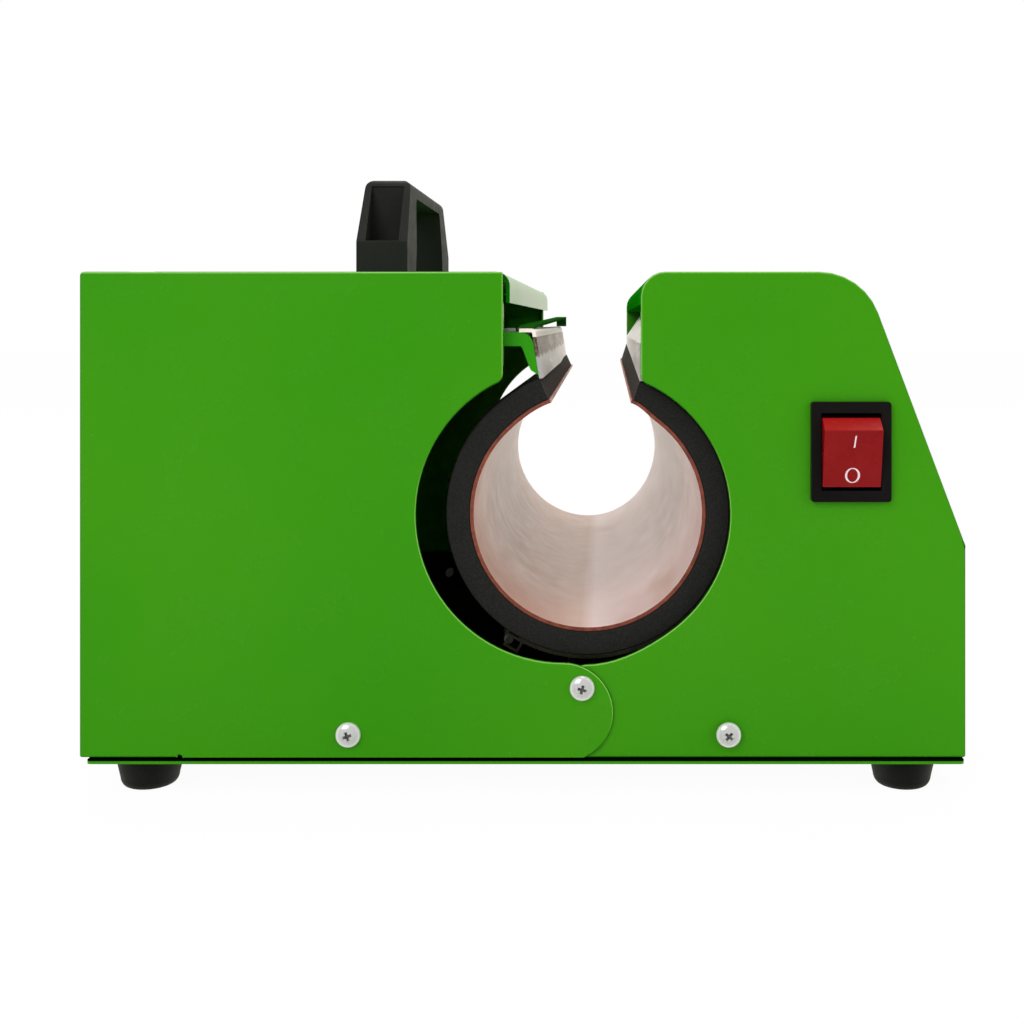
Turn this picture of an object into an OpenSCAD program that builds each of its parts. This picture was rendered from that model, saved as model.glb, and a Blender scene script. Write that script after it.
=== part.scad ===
// Tumbler heat press: two sheet-metal housings on a tray, a C-shaped heating wrap between them,
// and a lid with a bridge handle that swings up and draws the wrap's left jaw open through two cams.
// +X points to the console, +Y away from the near side, +Z up. The origin is under the centre, on the floor.

/* [Body] */
// Length of the body along X
body_w = 284; // [260:1:310]
// Width of the body along Y
body_d = 266; // [250:1:300]
// Height of the lid's top above the floor
body_h = 168.8; // [166:0.2:174]
// Thickness of the housing sheet
sheet_t = 1.2; // [0.8:0.1:1.6]
// Fitting gap between pieces that move past each other
gap = 0.3; // [0.3:0.1:0.5]

/* [Base] */
// Height of the rubber feet
foot_h = 11; // [8:0.5:16]
// Radius of the rubber feet at the top
foot_r = 10; // [8:0.2:12]
// Distance from a foot's centre to the tray's end
foot_inset_x = 16.5; // [14:0.5:30]
// Distance from a foot's centre to the body's side
foot_inset_y = 15; // [14:0.5:30]
// Height of the tray's upturned flanges
flange_h = 20; // [16:1:26]
// Slit between the tray and the side plates
base_slit = 1; // [0.6:0.1:2]

/* [Wrap] */
// Radius of the tumbler that the wrap closes on
wrap_r = 37; // [35:0.5:37.5]
// Thickness of the heater sheet
heater_t = 1.3; // [0.8:0.1:1.6]
// Thickness of the foam behind the heater
foam_t = 7.7; // [6:0.1:8]
// Length of the wrap along Y
wrap_len = 250; // [220:1:252]
// Distance from the near side plate to the wrap's near end
wrap_inset = 6; // [5:0.5:9]
// Half angle of the top slot on the jaw's side
slot_left = 20; // [18:0.5:24]
// Half angle of the top slot on the console's side
slot_right = 21.5; // [18:0.5:25]
// Angle between straight down and the line where the wrap bends
bend_angle = 32; // [28:1:36]

/* [Lever] */
// Angle that the lid swings up
lever_travel = 40; // [30:1:42]
// Angle that the jaw swings open
jaw_travel = 7; // [5:0.5:8]
// Height of the handle above the lid
handle_h = 39; // [32:1:45]
// Length of the handle along Y
handle_len = 124; // [110:1:140]
// Width of the handle along X
handle_w = 19.3; // [16:0.1:24]

/* [Switch] */
// Width of the switch bezel
bezel_w = 25.6; // [24:0.2:28]
// Height of the switch bezel
bezel_h = 32; // [30:0.2:34]

/* [Hidden] */
$fn = 64;

// Cutting overrun
over = 1;

// Place of the wrap's centre in the body
wrap_x_share = 0.07254;
wrap_z_share = 0.53614;
wrap_x = body_w * wrap_x_share;
wrap_z = body_h * wrap_z_share;

// Body planes
half_w = body_w / 2;
half_d = body_d / 2;
tray_z = foot_h;
tray_top = tray_z + sheet_t;
side_z = tray_top + base_slit;
rear_y = half_d - sheet_t;
console_y = rear_y - sheet_t;
lid_under = body_h - sheet_t;
rear_top = lid_under - gap;
side_top = body_h - gap / 3;

// Housing edges beside the wrap
throat_left = 27.1;
throat_right = 17.1;
rear_edge_x = wrap_x - throat_left;
console_edge_x = wrap_x + throat_right;
rear_cut_r = 47.3;
rear_cut_shift = 7.7;
rear_cut = [wrap_x - rear_cut_shift, wrap_z + gap];
console_cut_r = 46.1;
console_cut = [wrap_x - gap, wrap_z + gap];
throat_fillet = 3.2;
lobe_share = 0.528;
lobe_r = (rear_cut[1] - rear_cut_r - side_z) * lobe_share;
lobe = [rear_cut[0], rear_cut[1] - rear_cut_r - lobe_r];
edge_r = 0.8;
end_r = 1.2;
return_w = 3.4;
top_flange_w = 8;

// Console profile
console_corner_r = 8;
brow_r = 20.2;
brow_in = 33;
brow_x = half_w - brow_in;
chin_z = 80.9;
chin_r = 3;
slope_angle = atan((half_w - brow_x) / (body_h - chin_z));

// Tray
tray_inset_left = 1.9;
tray_inset_right = 0.5;
tray_end_r = 1.5;
flange_end = 32;
flange_x = half_w - flange_end;
relief_r = 0.7;
vent_w = 3;
vent_l = 40;
vent_pitch = 9;
vent_n = 7;

// Screws, chrome pan heads
screw_r = 2;
screw_head_r = 4;
screw_head_h = 2.4;
screw_len = 8;
screw_clear = 0.2;
tray_screw_rise = 9.6;
rear_screw_share = 0.394;
console_screw_share = 0.463;
lobe_screw_x_share = 0.375;
lobe_screw_z_share = 0.5;
tray_screw_z = tray_z + tray_screw_rise;
rear_screw_x = -half_w * rear_screw_share;
console_screw_x = half_w * console_screw_share;
lobe_screw = lobe + [lobe_screw_x_share, lobe_screw_z_share] * lobe_r;

// Lever hinge
hinge_r = 8;
hinge_in = 24;
hinge_x = -half_w + hinge_in;
hinge_z = body_h - hinge_r;
hinge = [hinge_x, hinge_z];
shaft_r = 3.5;
shaft_fit = 0.05;
lip_stand = 2.1;
lip_share = 0.513;
lip_r_share = 0.45;
lid_y = rear_y - gap;

// Mechanism planes along Y, from the middle out
cam_in = 13.5;
cam_y = half_d - cam_in;
cam_t = 3;
arm_gap = 1.5;
arm_y = cam_y + cam_t + arm_gap;
arm_t = 3;
frame_out = 1;
frame_y = arm_y + frame_out;
frame_t = 2.5;

// Jaw pivot, just outside the wrap's outer surface
foam_r = wrap_r + heater_t;
foam_out = foam_r + foam_t;
band_t = 0.6;
band_inset = 10;
band_r = foam_out + gap / 3;
cradle_t = 1.2;
knuckle_r = 2.4;
knuckle_gap = 0.4;
pin_r = 1.5;
jaw_r = foam_out + knuckle_gap + knuckle_r;
split_a = 270 - bend_angle;
wrap_c = [wrap_x, wrap_z];
jaw_pivot = wrap_c + jaw_r * [cos(split_a), sin(split_a)];
wrap_near = -half_d + wrap_inset;
wrap_far = wrap_near + wrap_len;
knuckle_n = 7;
knuckle_inset = 12;
pin_inset = 2;

// Jaw arm
arm_h = 4.5;
arm_rise_share = 1.278;
arm_top = wrap_z + foam_out * arm_rise_share;
cam_pin_r = 3;
lip_h = (body_h - arm_top) * lip_share;
lip_r = lip_h * lip_r_share;
cam_pin_in = 33;
cam_pin = [rear_edge_x - cam_pin_in, arm_top - arm_h / 2];
boss_r = 6;
jaw_ratio = jaw_travel / lever_travel;

// Outline helpers, all in the X-Z plane
function unit(v) = v / norm(v);
function polar(c, r, a) = c + r * [cos(a), sin(a)];
function arc(c, r, a0, a1, n) = [for (i = [0:n]) polar(c, r, a0 + (a1 - a0) * i / n)];
function turned(p, c, a) = c + [
    (p - c)[0] * cos(a) - (p - c)[1] * sin(a),
    (p - c)[0] * sin(a) + (p - c)[1] * cos(a)];
function near_turn(a) = a > 180 ? a - 360 : a < -180 ? a + 360 : a;
function heading(v) = atan2(v[1], v[0]);
function bend(p, q, s, r, n) = r <= 0 ? [q] :
    let (u = unit(p - q), v = unit(s - q), half = acos(u * v) / 2, m = q + unit(u + v) * r / sin(half))
    let (from = heading(q + u * r / tan(half) - m), to = heading(q + v * r / tan(half) - m))
    arc(m, r, from, from + near_turn(to - from), n);
function xy(c) = [c[0], c[1]];

// Closed outline through corners [x, z, radius]
function rounded(c, n = 6) = [for (i = [0:len(c) - 1])
    each bend(xy(c[(i + len(c) - 1) % len(c)]), xy(c[i]), xy(c[(i + 1) % len(c)]), c[i][2], n)];

// Bent sheet: one face runs through corners [x, z, radius], the other lies t to its left
function left_of(v) = [-v[1], v[0]];
function side_normals(c) = [for (i = [0:len(c) - 2]) left_of(unit(xy(c[i + 1]) - xy(c[i])))];
function cross2(a, b) = a[0] * b[1] - a[1] * b[0];
function shifted(c, t) = let (s = side_normals(c), k = len(c)) [for (i = [0:k - 1])
    let (a = s[max(i - 1, 0)], b = s[min(i, k - 2)], q = xy(c[i]) + (a + b) / (1 + a * b) * t)
    [q[0], q[1], c[i][2] <= 0 ? 0 : cross2(a, b) > 0 ? max(c[i][2] - t, 0) : c[i][2] + t]];
function open_path(c, n) = let (k = len(c)) [for (i = [0:k - 1])
    each (i == 0 || i == k - 1 ? [xy(c[i])] : bend(xy(c[i - 1]), xy(c[i]), xy(c[i + 1]), c[i][2], n))];
function tail(p) = [for (i = [1:len(p) - 1]) p[i]];
function reversed(p) = [for (i = [len(p) - 1:-1:0]) p[i]];
function strip(c, t, n = 6) = concat(open_path(c, n), reversed(open_path(shifted(c, t), n)));

// Solid helpers
module along_y(y_low, y_high) {
    translate([0, y_high, 0]) rotate([90, 0, 0]) linear_extrude(y_high - y_low) children();
}

module rod_y(c, y_low, y_high, r) {
    translate([c[0], y_high, c[1]]) rotate([90, 0, 0]) cylinder(h = y_high - y_low, r = r);
}

module both_sides() {
    children();
    mirror([0, 1, 0]) children();
}

module block(low, high) {
    translate(low) cube(high - low);
}

// Part of a ring about the wrap's centre, from angle a0 to a1
module ring_part(r_in, r_out, a0, a1, y_low, y_high) {
    reach = r_out * 2;
    difference() {
        intersection() {
            rod_y(wrap_c, y_low, y_high, r_out);
            along_y(y_low - over, y_high + over) polygon(concat([wrap_c], arc(wrap_c, reach, a0, a1, 8)));
        }
        rod_y(wrap_c, y_low - over, y_high + over, r_in);
    }
}

// Pan-head screw along +Y whose head stands on the plane y, the shank going inward
module pan_screw_y(c, y) {
    head_base = screw_head_h * 0.35;
    rod_y(c, y, y + screw_len, screw_r);
    rod_y(c, y - head_base, y, screw_head_r);
    dome = (screw_head_r * screw_head_r + screw_head_h * screw_head_h) / (2 * screw_head_h);
    intersection() {
        translate([c[0], y + dome - screw_head_h, c[1]]) sphere(dome, $fn = 32);
        rod_y(c, y - screw_head_h, y - head_base, screw_head_r);
    }
}

// Base and feet
foot_x = half_w - foot_inset_x;
foot_y = half_d - foot_inset_y;
foot_bore_r = screw_r + screw_clear;
foot_well_r = screw_head_r + gap;
foot_well_h = foot_h * 0.45;

module at_feet() {
    for (sx = [-1, 1], sy = [-1, 1])
        translate([sx * foot_x, sy * foot_y, 0]) children();
}

module base_tray() {
    left_x = -half_w + tray_inset_left;
    right_x = half_w - tray_inset_right;
    tray_y = half_d - gap;
    flange_y = console_y - sheet_t;
    color("forestgreen") difference() {
        union() {
            translate([0, 0, tray_z]) linear_extrude(sheet_t)
                polygon(rounded([[left_x, -tray_y, tray_end_r], [right_x, -tray_y, tray_end_r],
                    [right_x, tray_y, tray_end_r], [left_x, tray_y, tray_end_r]]));
            both_sides() block([-flange_x, -console_y, tray_top], [flange_x, -flange_y, tray_z + flange_h]);
        }
        at_feet() translate([0, 0, tray_z - over]) cylinder(h = sheet_t + 2 * over, r = foot_bore_r);
        for (i = [0:vent_n - 1])
            translate([rear_screw_x + (i - (vent_n - 1) / 2) * vent_pitch, 0, tray_z - over])
                linear_extrude(sheet_t + 2 * over) square([vent_w, vent_l], center = true);
        for (c = [[rear_screw_x, tray_screw_z], [console_screw_x, tray_screw_z], lobe_screw])
            rod_y(c, -half_d, half_d, screw_r + screw_clear);
    }
}

module rubber_feet() {
    sole_r = foot_r * 0.7;
    belly_r = foot_r * 0.88;
    rim = foot_h * 0.26;
    color("dimgray") at_feet() difference() {
        rotate_extrude() polygon(concat([[0, 0]],
            [for (a = [0:15:90]) [sole_r + (belly_r - sole_r) * sin(a), rim * (1 - cos(a))]],
            [[foot_r, foot_h], [0, foot_h]]));
        translate([0, 0, -over]) cylinder(h = foot_h + 2 * over, r = foot_bore_r);
        translate([0, 0, -over]) cylinder(h = foot_well_h + over, r = foot_well_r);
    }
}

module foot_screws() {
    nut_h = 3;
    color("silver") at_feet() {
        translate([0, 0, foot_well_h]) cylinder(h = tray_top + nut_h - foot_well_h, r = screw_r);
        translate([0, 0, foot_well_h - screw_head_h]) cylinder(h = screw_head_h, r = screw_head_r);
        translate([0, 0, tray_top]) cylinder(h = nut_h, r = screw_head_r, $fn = 6);
    }
}

// Rear housing
function throat(c, r, edge_x, way) = let (edge = acos((edge_x - c[0]) / r))
    arc(c, r, edge - way * 6, way > 0 ? -90 : 270, 40);
rear_meet_z = rear_cut[1] + sqrt(pow(rear_cut_r, 2) - pow(rear_edge_x - rear_cut[0], 2));
roof_r = lip_r - sheet_t;
rear_throat = throat(rear_cut, rear_cut_r, rear_edge_x, -1);
rear_outline = concat(
    rounded([[0, side_z, 0], [-half_w, side_z, edge_r], [-half_w, side_top, end_r],
        [rear_edge_x, side_top, edge_r],
        [rear_edge_x, rear_meet_z, throat_fillet],
        concat(rear_throat[0], [0])]),
    tail(rear_throat),
    arc(lobe, lobe_r, 90, asin((side_z - lobe[1]) / lobe_r), 20));

module rear_screw_holes() {
    rod_y([-flange_x, side_z], -half_d - over, -console_y + over, relief_r);
    rod_y([rear_screw_x, tray_screw_z], -half_d - over, -console_y + over, screw_r + screw_clear);
    rod_y(lobe_screw, -half_d - over, -console_y + over, screw_r + screw_clear);
}

module rear_side() {
    difference() {
        union() {
            along_y(-half_d, -rear_y) polygon(rear_outline);
            block([-half_w + 3 * sheet_t, -rear_y, rear_top - sheet_t],
                [strip_x, -rear_y + top_flange_w, rear_top]);
            block([hinge_x + hinge_r, -rear_y, rear_top - sheet_t],
                [rear_edge_x - roof_r, -rear_y + top_flange_w, rear_top]);
            block([rear_edge_x - sheet_t, -rear_y, rear_cut[1] + rear_cut_r],
                [rear_edge_x, -rear_y + return_w, rear_top - roof_r]);
        }
        rear_screw_holes();
    }
}

module rear_side_near() {
    color("forestgreen") rear_side();
}

module rear_side_far() {
    color("forestgreen") mirror([0, 1, 0]) rear_side();
}

// End wall with the fixed strip of roof that the lid's rolled edge turns beside
strip_x = hinge_x - hinge_r - 2 * gap;
end_slot_z = 96;

module rear_end_panel() {
    slot_h = 3;
    slot_l = 60;
    slot_pitch = 9;
    color("forestgreen") difference() {
        along_y(-rear_y + gap, rear_y - gap)
            polygon(strip([[-half_w, side_z, 0], [-half_w, body_h, end_r], [strip_x, body_h, 0]],
                -sheet_t));
        for (i = [0:4], sy = [-1, 1])
            block([-half_w - over, sy * half_d / 2 - slot_l / 2, end_slot_z + i * slot_pitch],
                [-half_w + sheet_t + over, sy * half_d / 2 + slot_l / 2, end_slot_z + i * slot_pitch + slot_h]);
    }
}

// Console housing
chin = [half_w, chin_z];
console_throat = throat(console_cut, console_cut_r, console_edge_x, 1);
console_meet_z = console_cut[1] + sqrt(pow(console_cut_r, 2) - pow(console_edge_x - console_cut[0], 2));
tab_reach = lobe_r * 1.1;
tab_drop = lobe_r * 0.3;
console_tab = [console_cut[0] - tab_reach, console_cut[1] - console_cut_r - tab_drop];
console_outline = concat(
    rounded([[0, side_z, 0], [console_tab[0], console_tab[1], 0], concat(console_throat[40], [0])]),
    reversed([for (i = [1:39]) console_throat[i]]),
    rounded([concat(console_throat[0], [0]), [console_edge_x, console_meet_z, throat_fillet],
        [console_edge_x, body_h, console_corner_r], [brow_x, body_h, brow_r], [chin[0], chin[1], edge_r],
        [half_w, side_z, edge_r]]));

// Switch place on the near plate
switch_in = 37.1;
switch_x = half_w - switch_in;
switch_z = 111.1;
switch_rim = 3.2;
switch_body_w = bezel_w - switch_rim;
switch_body_h = bezel_h - switch_rim;

// Inner wall's radius about the wrap, and the inlet's place on the far plate
wall_space = 2.8;
wall_r = foam_out + cradle_t + wall_space;
inlet_rise = 46;
inlet_x = (wrap_x + wall_r + half_w) / 2;
inlet_z = tray_top + inlet_rise;
inlet_w = 27;
inlet_h = 32;
inlet_flange = 5;

module console_side() {
    difference() {
        along_y(-rear_y, -console_y) polygon(console_outline);
        rod_y([flange_x, side_z], -half_d - over, -console_y + over, relief_r);
        rod_y([console_screw_x, tray_screw_z], -half_d - over, -console_y + over, screw_r + screw_clear);
        rod_y(lobe_screw, -half_d - over, -console_y + over, screw_r + screw_clear);
    }
}

module console_side_near() {
    hole_w = switch_body_w + 2 * gap;
    hole_h = switch_body_h + 2 * gap;
    color("forestgreen") difference() {
        console_side();
        block([switch_x - hole_w / 2, -half_d, switch_z - hole_h / 2],
            [switch_x + hole_w / 2, -console_y + over, switch_z + hole_h / 2]);
    }
}

module console_side_far() {
    hole_w = inlet_w + 2 * gap;
    hole_h = inlet_h + 2 * gap;
    color("forestgreen") difference() {
        mirror([0, 1, 0]) console_side();
        block([inlet_x - hole_w / 2, console_y - over, inlet_z - hole_h / 2],
            [inlet_x + hole_w / 2, half_d, inlet_z + hole_h / 2]);
    }
}

// Frame on the sloped front: +Z is the slope's outward normal, +X runs down the slope
slope_mid = [brow_x, body_h] * 0.43 + chin * 0.57;
module on_slope() {
    translate([slope_mid[0], 0, slope_mid[1]]) rotate([0, 90 - slope_angle, 0]) children();
}

// Controller sizes, along the slope, along Y and proud of it
control_l = 54;
control_w = 92;
control_proud = 2.4;
control_deep = 7;
control_rim = 8;
control_body_l = control_l - control_rim;
control_body_w = control_w - control_rim;
control_wall = 2;
control_seat = gap / 3;
lens_l = 18;
lens_w = 50;
lens_t = 1.6;
lens_at = -11;
button_at = 14;
button_pitch = 17;
button_r = 4.5;
button_proud = 1.8;
button_travel = 0.8;
console_wall_top = body_h - console_corner_r - sheet_t * 2;

module console_wrapper() {
    y = console_y - gap / 3;
    foot_flange = 12;
    color("forestgreen") difference() {
        along_y(-y, y) polygon(strip([[console_edge_x, console_wall_top, 0],
            [console_edge_x, body_h, console_corner_r],
            [brow_x, body_h, brow_r], [chin[0], chin[1], chin_r], [half_w, tray_top + sheet_t, sheet_t * 2],
            [half_w - foot_flange, tray_top + sheet_t, 0]], -sheet_t));
        on_slope() translate([-control_body_l / 2 - gap, -control_body_w / 2 - gap, -control_deep])
            cube([control_body_l + 2 * gap, control_body_w + 2 * gap, 2 * control_deep]);
    }
}

// Wall between the wrap and the console's inside: it stands on the tray and curves round the wrap
wall_foot = 12;
wall_back = 8.3;
wall_x = console_edge_x + wall_back;
wall_low_a = -58;
module console_inner_wall() {
    y = console_y - sheet_t - gap / 3;
    top_a = acos((wall_x - wrap_x) / wall_r);
    inner = arc(wrap_c, wall_r, top_a, wall_low_a, 24);
    outer = arc(wrap_c, wall_r + sheet_t, top_a, wall_low_a, 24);
    low = inner[24];
    hem_x = console_edge_x + sheet_t + gap / 3;
    hem_z = console_wall_top + sheet_t;
    foot_z = tray_top + sheet_t;
    color("forestgreen") along_y(-y, y) polygon(concat(
        [[hem_x, hem_z], [hem_x, console_wall_top], [wall_x, console_wall_top]], inner,
        [[low[0], tray_top], [low[0] + wall_foot, tray_top], [low[0] + wall_foot, foot_z],
            [low[0] + sheet_t, foot_z]],
        reversed([for (p = outer) [max(p[0], low[0] + sheet_t), p[1]]]),
        [[wall_x + sheet_t, hem_z]]));
}

module housing_screws() {
    color("silver") both_sides() {
        pan_screw_y([rear_screw_x, tray_screw_z], -half_d);
        pan_screw_y(lobe_screw, -half_d);
        pan_screw_y([console_screw_x, tray_screw_z], -rear_y);
    }
}

// Lever hinge in the rear housing
frame_w = 34;
frame_foot = 14;
bush_flange_t = 1;
bush_wall = 1;
bush_r = shaft_r + bush_wall;
bush_flange_r = bush_r + bush_wall;
collar_t = 3;
collar_wall = 1.5;
collar_r = shaft_r + collar_wall;
ear_r = hinge_r - sheet_t - gap;
ear_stem = ear_r * 0.75;
shaft_end = 1;
shaft_half = frame_y + frame_t + shaft_end;

module frame_plates() {
    color("gainsboro") both_sides() difference() {
        union() {
            rod_y(hinge, -frame_y - frame_t, -frame_y, ear_r);
            along_y(-frame_y - frame_t, -frame_y) polygon(rounded([
                [hinge_x - ear_stem, tray_top, 0], [hinge_x + frame_w, tray_top, 0],
                [hinge_x + frame_w, tray_top + frame_foot, frame_foot / 2],
                [hinge_x + ear_stem, hinge_z - frame_w, frame_foot],
                [hinge_x + ear_stem, hinge_z, 0], [hinge_x - ear_stem, hinge_z, 0]]));
            block([hinge_x, -frame_y, tray_top],
                [hinge_x + frame_w, -frame_y + frame_foot, tray_top + frame_t]);
        }
        rod_y(hinge, -half_d, 0, bush_r);
    }
}

module lever_shaft() {
    color("silver") rod_y(hinge, -shaft_half, shaft_half, shaft_r);
}

module shaft_bushes() {
    color("goldenrod") both_sides() difference() {
        union() {
            rod_y(hinge, -frame_y - frame_t, -frame_y, bush_r);
            rod_y(hinge, -frame_y, -frame_y + bush_flange_t, bush_flange_r);
        }
        rod_y(hinge, -half_d, 0, shaft_r);
    }
}

module shaft_collars() {
    color("silver") both_sides() difference() {
        rod_y(hinge, -cam_y + gap, -cam_y + gap + collar_t, collar_r);
        rod_y(hinge, -half_d, 0, shaft_r);
    }
}

// Wrap and its cradle
fixed_end_a = 90 - slot_right;
moving_end_a = 90 + slot_left;
split_half = gap / 2 / foam_out * 180 / PI;
knuckle_turn = (knuckle_r + gap) / jaw_r * 180 / PI;
knuckle_len = (wrap_len - 2 * knuckle_inset) / knuckle_n;
knuckle_lap = 1;
cradle_stop = 23.5;

// Knuckles on the jaw's pivot, every second one, with the tab that joins them to the band
module knuckles(first, a_band, t) {
    for (i = [first:2:knuckle_n - 1]) {
        y_low = wrap_near + knuckle_inset + i * knuckle_len + gap / 2;
        y_high = y_low + knuckle_len - gap;
        difference() {
            union() {
                rod_y(jaw_pivot, y_low, y_high, knuckle_r);
                ring_part(foam_out + knuckle_gap, foam_out + knuckle_gap + t, min(split_a, a_band),
                    max(split_a, a_band), y_low, y_high);
            }
            rod_y(jaw_pivot, y_low - over, y_high + over, pin_r + shaft_fit);
        }
    }
}

// Clips at the cradle's ends that keep the pin in: flat frames across its axis
clip_t = 1;
clip_w = 5.4;
clip_h = 4.4;
clip_wall = 0.8;
clip_a = split_a + 2.2;
module cradle_clip(y) {
    translate([wrap_x, y + clip_t, wrap_z]) rotate([90, 0, 0]) rotate(clip_a) linear_extrude(clip_t)
        translate([foam_out + knuckle_gap + clip_h / 2, 0]) difference() {
            square([clip_h, clip_w], center = true);
            square([clip_h - 2 * clip_wall, clip_w - 2 * clip_wall], center = true);
        }
}

module wrap_cradle() {
    color("silver") {
        ring_part(foam_out, foam_out + cradle_t, split_a + knuckle_turn, 360 + fixed_end_a - cradle_stop,
            wrap_near, wrap_far);
        knuckles(0, split_a + knuckle_turn + knuckle_lap, cradle_t);
        cradle_clip(wrap_near);
        cradle_clip(wrap_far - clip_t);
    }
}

module wrap_hinge_pin() {
    color("silver") rod_y(jaw_pivot, wrap_near + pin_inset, wrap_far - pin_inset, pin_r);
}

// Feet that carry the cradle on the tray, and spacers that join it to the inner wall
cradle_low_z = wrap_z - foam_out - cradle_t;
bracket_w = 30;
bracket_t = 2;
bracket_l = 26;
module cradle_brackets() {
    foot_half = bracket_w / 2;
    leg_half = bracket_w / 4;
    leg_in = leg_half - bracket_t;
    foot_top = tray_top + bracket_t;
    color("gainsboro") for (sy = [-1, 1])
        along_y(sy * wrap_len / 3 - bracket_l / 2, sy * wrap_len / 3 + bracket_l / 2) translate([wrap_x, 0])
            difference() {
                polygon([[-foot_half, tray_top], [foot_half, tray_top], [foot_half, foot_top],
                    [leg_half, foot_top], [leg_half, wrap_z - foam_out], [-leg_half, wrap_z - foam_out],
                    [-leg_half, foot_top], [-foot_half, foot_top]]);
                translate([0, wrap_z]) circle(foam_out + cradle_t);
                polygon([[-leg_in, tray_top - over], [leg_in, tray_top - over],
                    [leg_in, cradle_low_z - bracket_t], [-leg_in, cradle_low_z - bracket_t]]);
            }
}

module cradle_spacers() {
    spacer_r = 4;
    color("silver") for (sy = [-1, 0, 1], a = [-24, 24])
        difference() {
            intersection() {
                translate([wrap_x, sy * wrap_len / 3, wrap_z]) rotate([0, 90 - a, 0])
                    cylinder(h = wall_r, r = spacer_r);
                rod_y(wrap_c, -half_d, half_d, wall_r - gap / 3);
            }
            rod_y(wrap_c, -half_d, half_d, foam_out + cradle_t);
        }
}

module wrap_foam_fixed() {
    color("dimgray")
        ring_part(foam_r, foam_out, split_a + split_half, 360 + fixed_end_a, wrap_near, wrap_far);
}

module wrap_heater_fixed() {
    color("sienna") ring_part(wrap_r, foam_r, split_a + split_half, 360 + fixed_end_a, wrap_near, wrap_far);
}

module wrap_foam_moving() {
    color("dimgray") ring_part(foam_r, foam_out, moving_end_a, split_a - split_half, wrap_near, wrap_far);
}

module wrap_heater_moving() {
    color("sienna") ring_part(wrap_r, foam_r, moving_end_a, split_a - split_half, wrap_near, wrap_far);
}

module wrap_band_moving() {
    color("silver") {
        ring_part(band_r, band_r + band_t, moving_end_a, split_a - knuckle_turn, wrap_near + band_inset,
            wrap_far - band_inset);
        knuckles(1, split_a - knuckle_turn - knuckle_lap, cradle_t);
    }
}

// Fixed clamp: a steel plate from the wrap's right lip to the inner wall, on three gussets
clamp_t = 1.2;
clamp_seat = gap / 3;
fixed_lip = polar(wrap_c, foam_out + clamp_seat, fixed_end_a);
clamp_low = fixed_lip[1];
clamp_top = console_wall_top - gap;
clamp_x = wall_x - clamp_seat - clamp_t;
clamp_knee_share = 0.49;
clamp_back_share = 0.92;
function clamp_z(share) = clamp_low + (clamp_top - clamp_low) * share;
clamp_path = [[fixed_lip[0], clamp_low, 0], [fixed_lip[0], clamp_z(clamp_knee_share), clamp_t],
    [clamp_x, clamp_z(clamp_back_share), clamp_t], [clamp_x, clamp_top, 0]];
module fixed_clamp_plate() {
    color("silver") along_y(wrap_near, wrap_far) polygon(strip(clamp_path, -clamp_t));
}

module fixed_clamp_bracket() {
    gusset_t = 3;
    back = shifted(clamp_path, -clamp_t - clamp_seat);
    color("limegreen") for (sy = [-1, 0, 1])
        along_y(sy * wrap_len / 3 - gusset_t / 2, sy * wrap_len / 3 + gusset_t / 2)
            polygon([xy(back[1]), xy(back[2]), [wall_x, back[2][1]], [wall_x, back[1][1]]]);
}

// Controller on the sloped front
module plate_on_slope(l, w, low, high, r) {
    translate([0, 0, low]) linear_extrude(high - low)
        polygon(rounded([[-l / 2, -w / 2, r], [l / 2, -w / 2, r], [l / 2, w / 2, r], [-l / 2, w / 2, r]]));
}

module controller_bezel() {
    frame_r = 4;
    lens_fit = gap / 3;
    pocket_l = control_body_l - 2 * control_wall;
    pocket_w = control_body_w - 2 * control_wall;
    color("dimgray") on_slope() difference() {
        union() {
            plate_on_slope(control_l, control_w, control_seat, control_proud, frame_r);
            plate_on_slope(control_body_l, control_body_w, -control_deep, control_seat, control_wall);
        }
        plate_on_slope(pocket_l, pocket_w, -control_deep - over, 0, control_wall / 2);
        translate([lens_at - lens_l / 2 - lens_fit, -lens_w / 2 - lens_fit, -over])
            cube([lens_l + 2 * lens_fit, lens_w + 2 * lens_fit, 2 * control_deep]);
        for (i = [0:button_n - 1])
            translate([button_at, button_y(i), -over]) cylinder(h = 2 * control_deep, r = button_r + gap);
    }
}

module display_lens() {
    color("black") on_slope() translate([lens_at, 0, control_proud - lens_t])
        translate([-lens_l / 2, -lens_w / 2, 0]) cube([lens_l, lens_w, lens_t * 0.9]);
}

// Push button i of the row: a flange under the bezel's face holds it, its stem stands over a key on the board
button_n = 4;
button_lip = 1;
button_t = 1;
board_drop = 10;
key_h = 3;
function button_y(i) = (i - (button_n - 1) / 2) * button_pitch;
module button(i) {
    crown = 1;
    stem_low = -board_drop + key_h + button_travel + gap;
    top = control_proud + button_proud;
    color("lightgray") on_slope() translate([button_at, button_y(i), 0]) {
        translate([0, 0, -gap]) cylinder(h = top - crown + gap, r = button_r);
        translate([0, 0, top - crown]) cylinder(h = crown, r1 = button_r, r2 = button_r - crown);
        translate([0, 0, -button_t - gap]) cylinder(h = button_t, r = button_r + button_lip);
        translate([0, 0, stem_low]) cylinder(h = -gap - stem_low, r = button_r / 3);
    }
}

module button_mode() {
    button(0);
}

module button_down() {
    button(1);
}

module button_up() {
    button(2);
}

module button_start() {
    button(3);
}

// Board on four posts under the bezel, with the display, the keys and three chips
board_t = 1.6;
board_lap = 6;
board_l = control_body_l + board_lap;
board_w = control_body_w + board_lap;
post_inset = 6;
post_r = 2;
post_screw_r = 1;
module at_posts() {
    for (sx = [-1, 1], sy = [-1, 1])
        translate([sx * (control_body_l / 2 - post_inset), sy * (control_body_w / 2 - post_inset), -board_drop])
            children();
}

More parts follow.
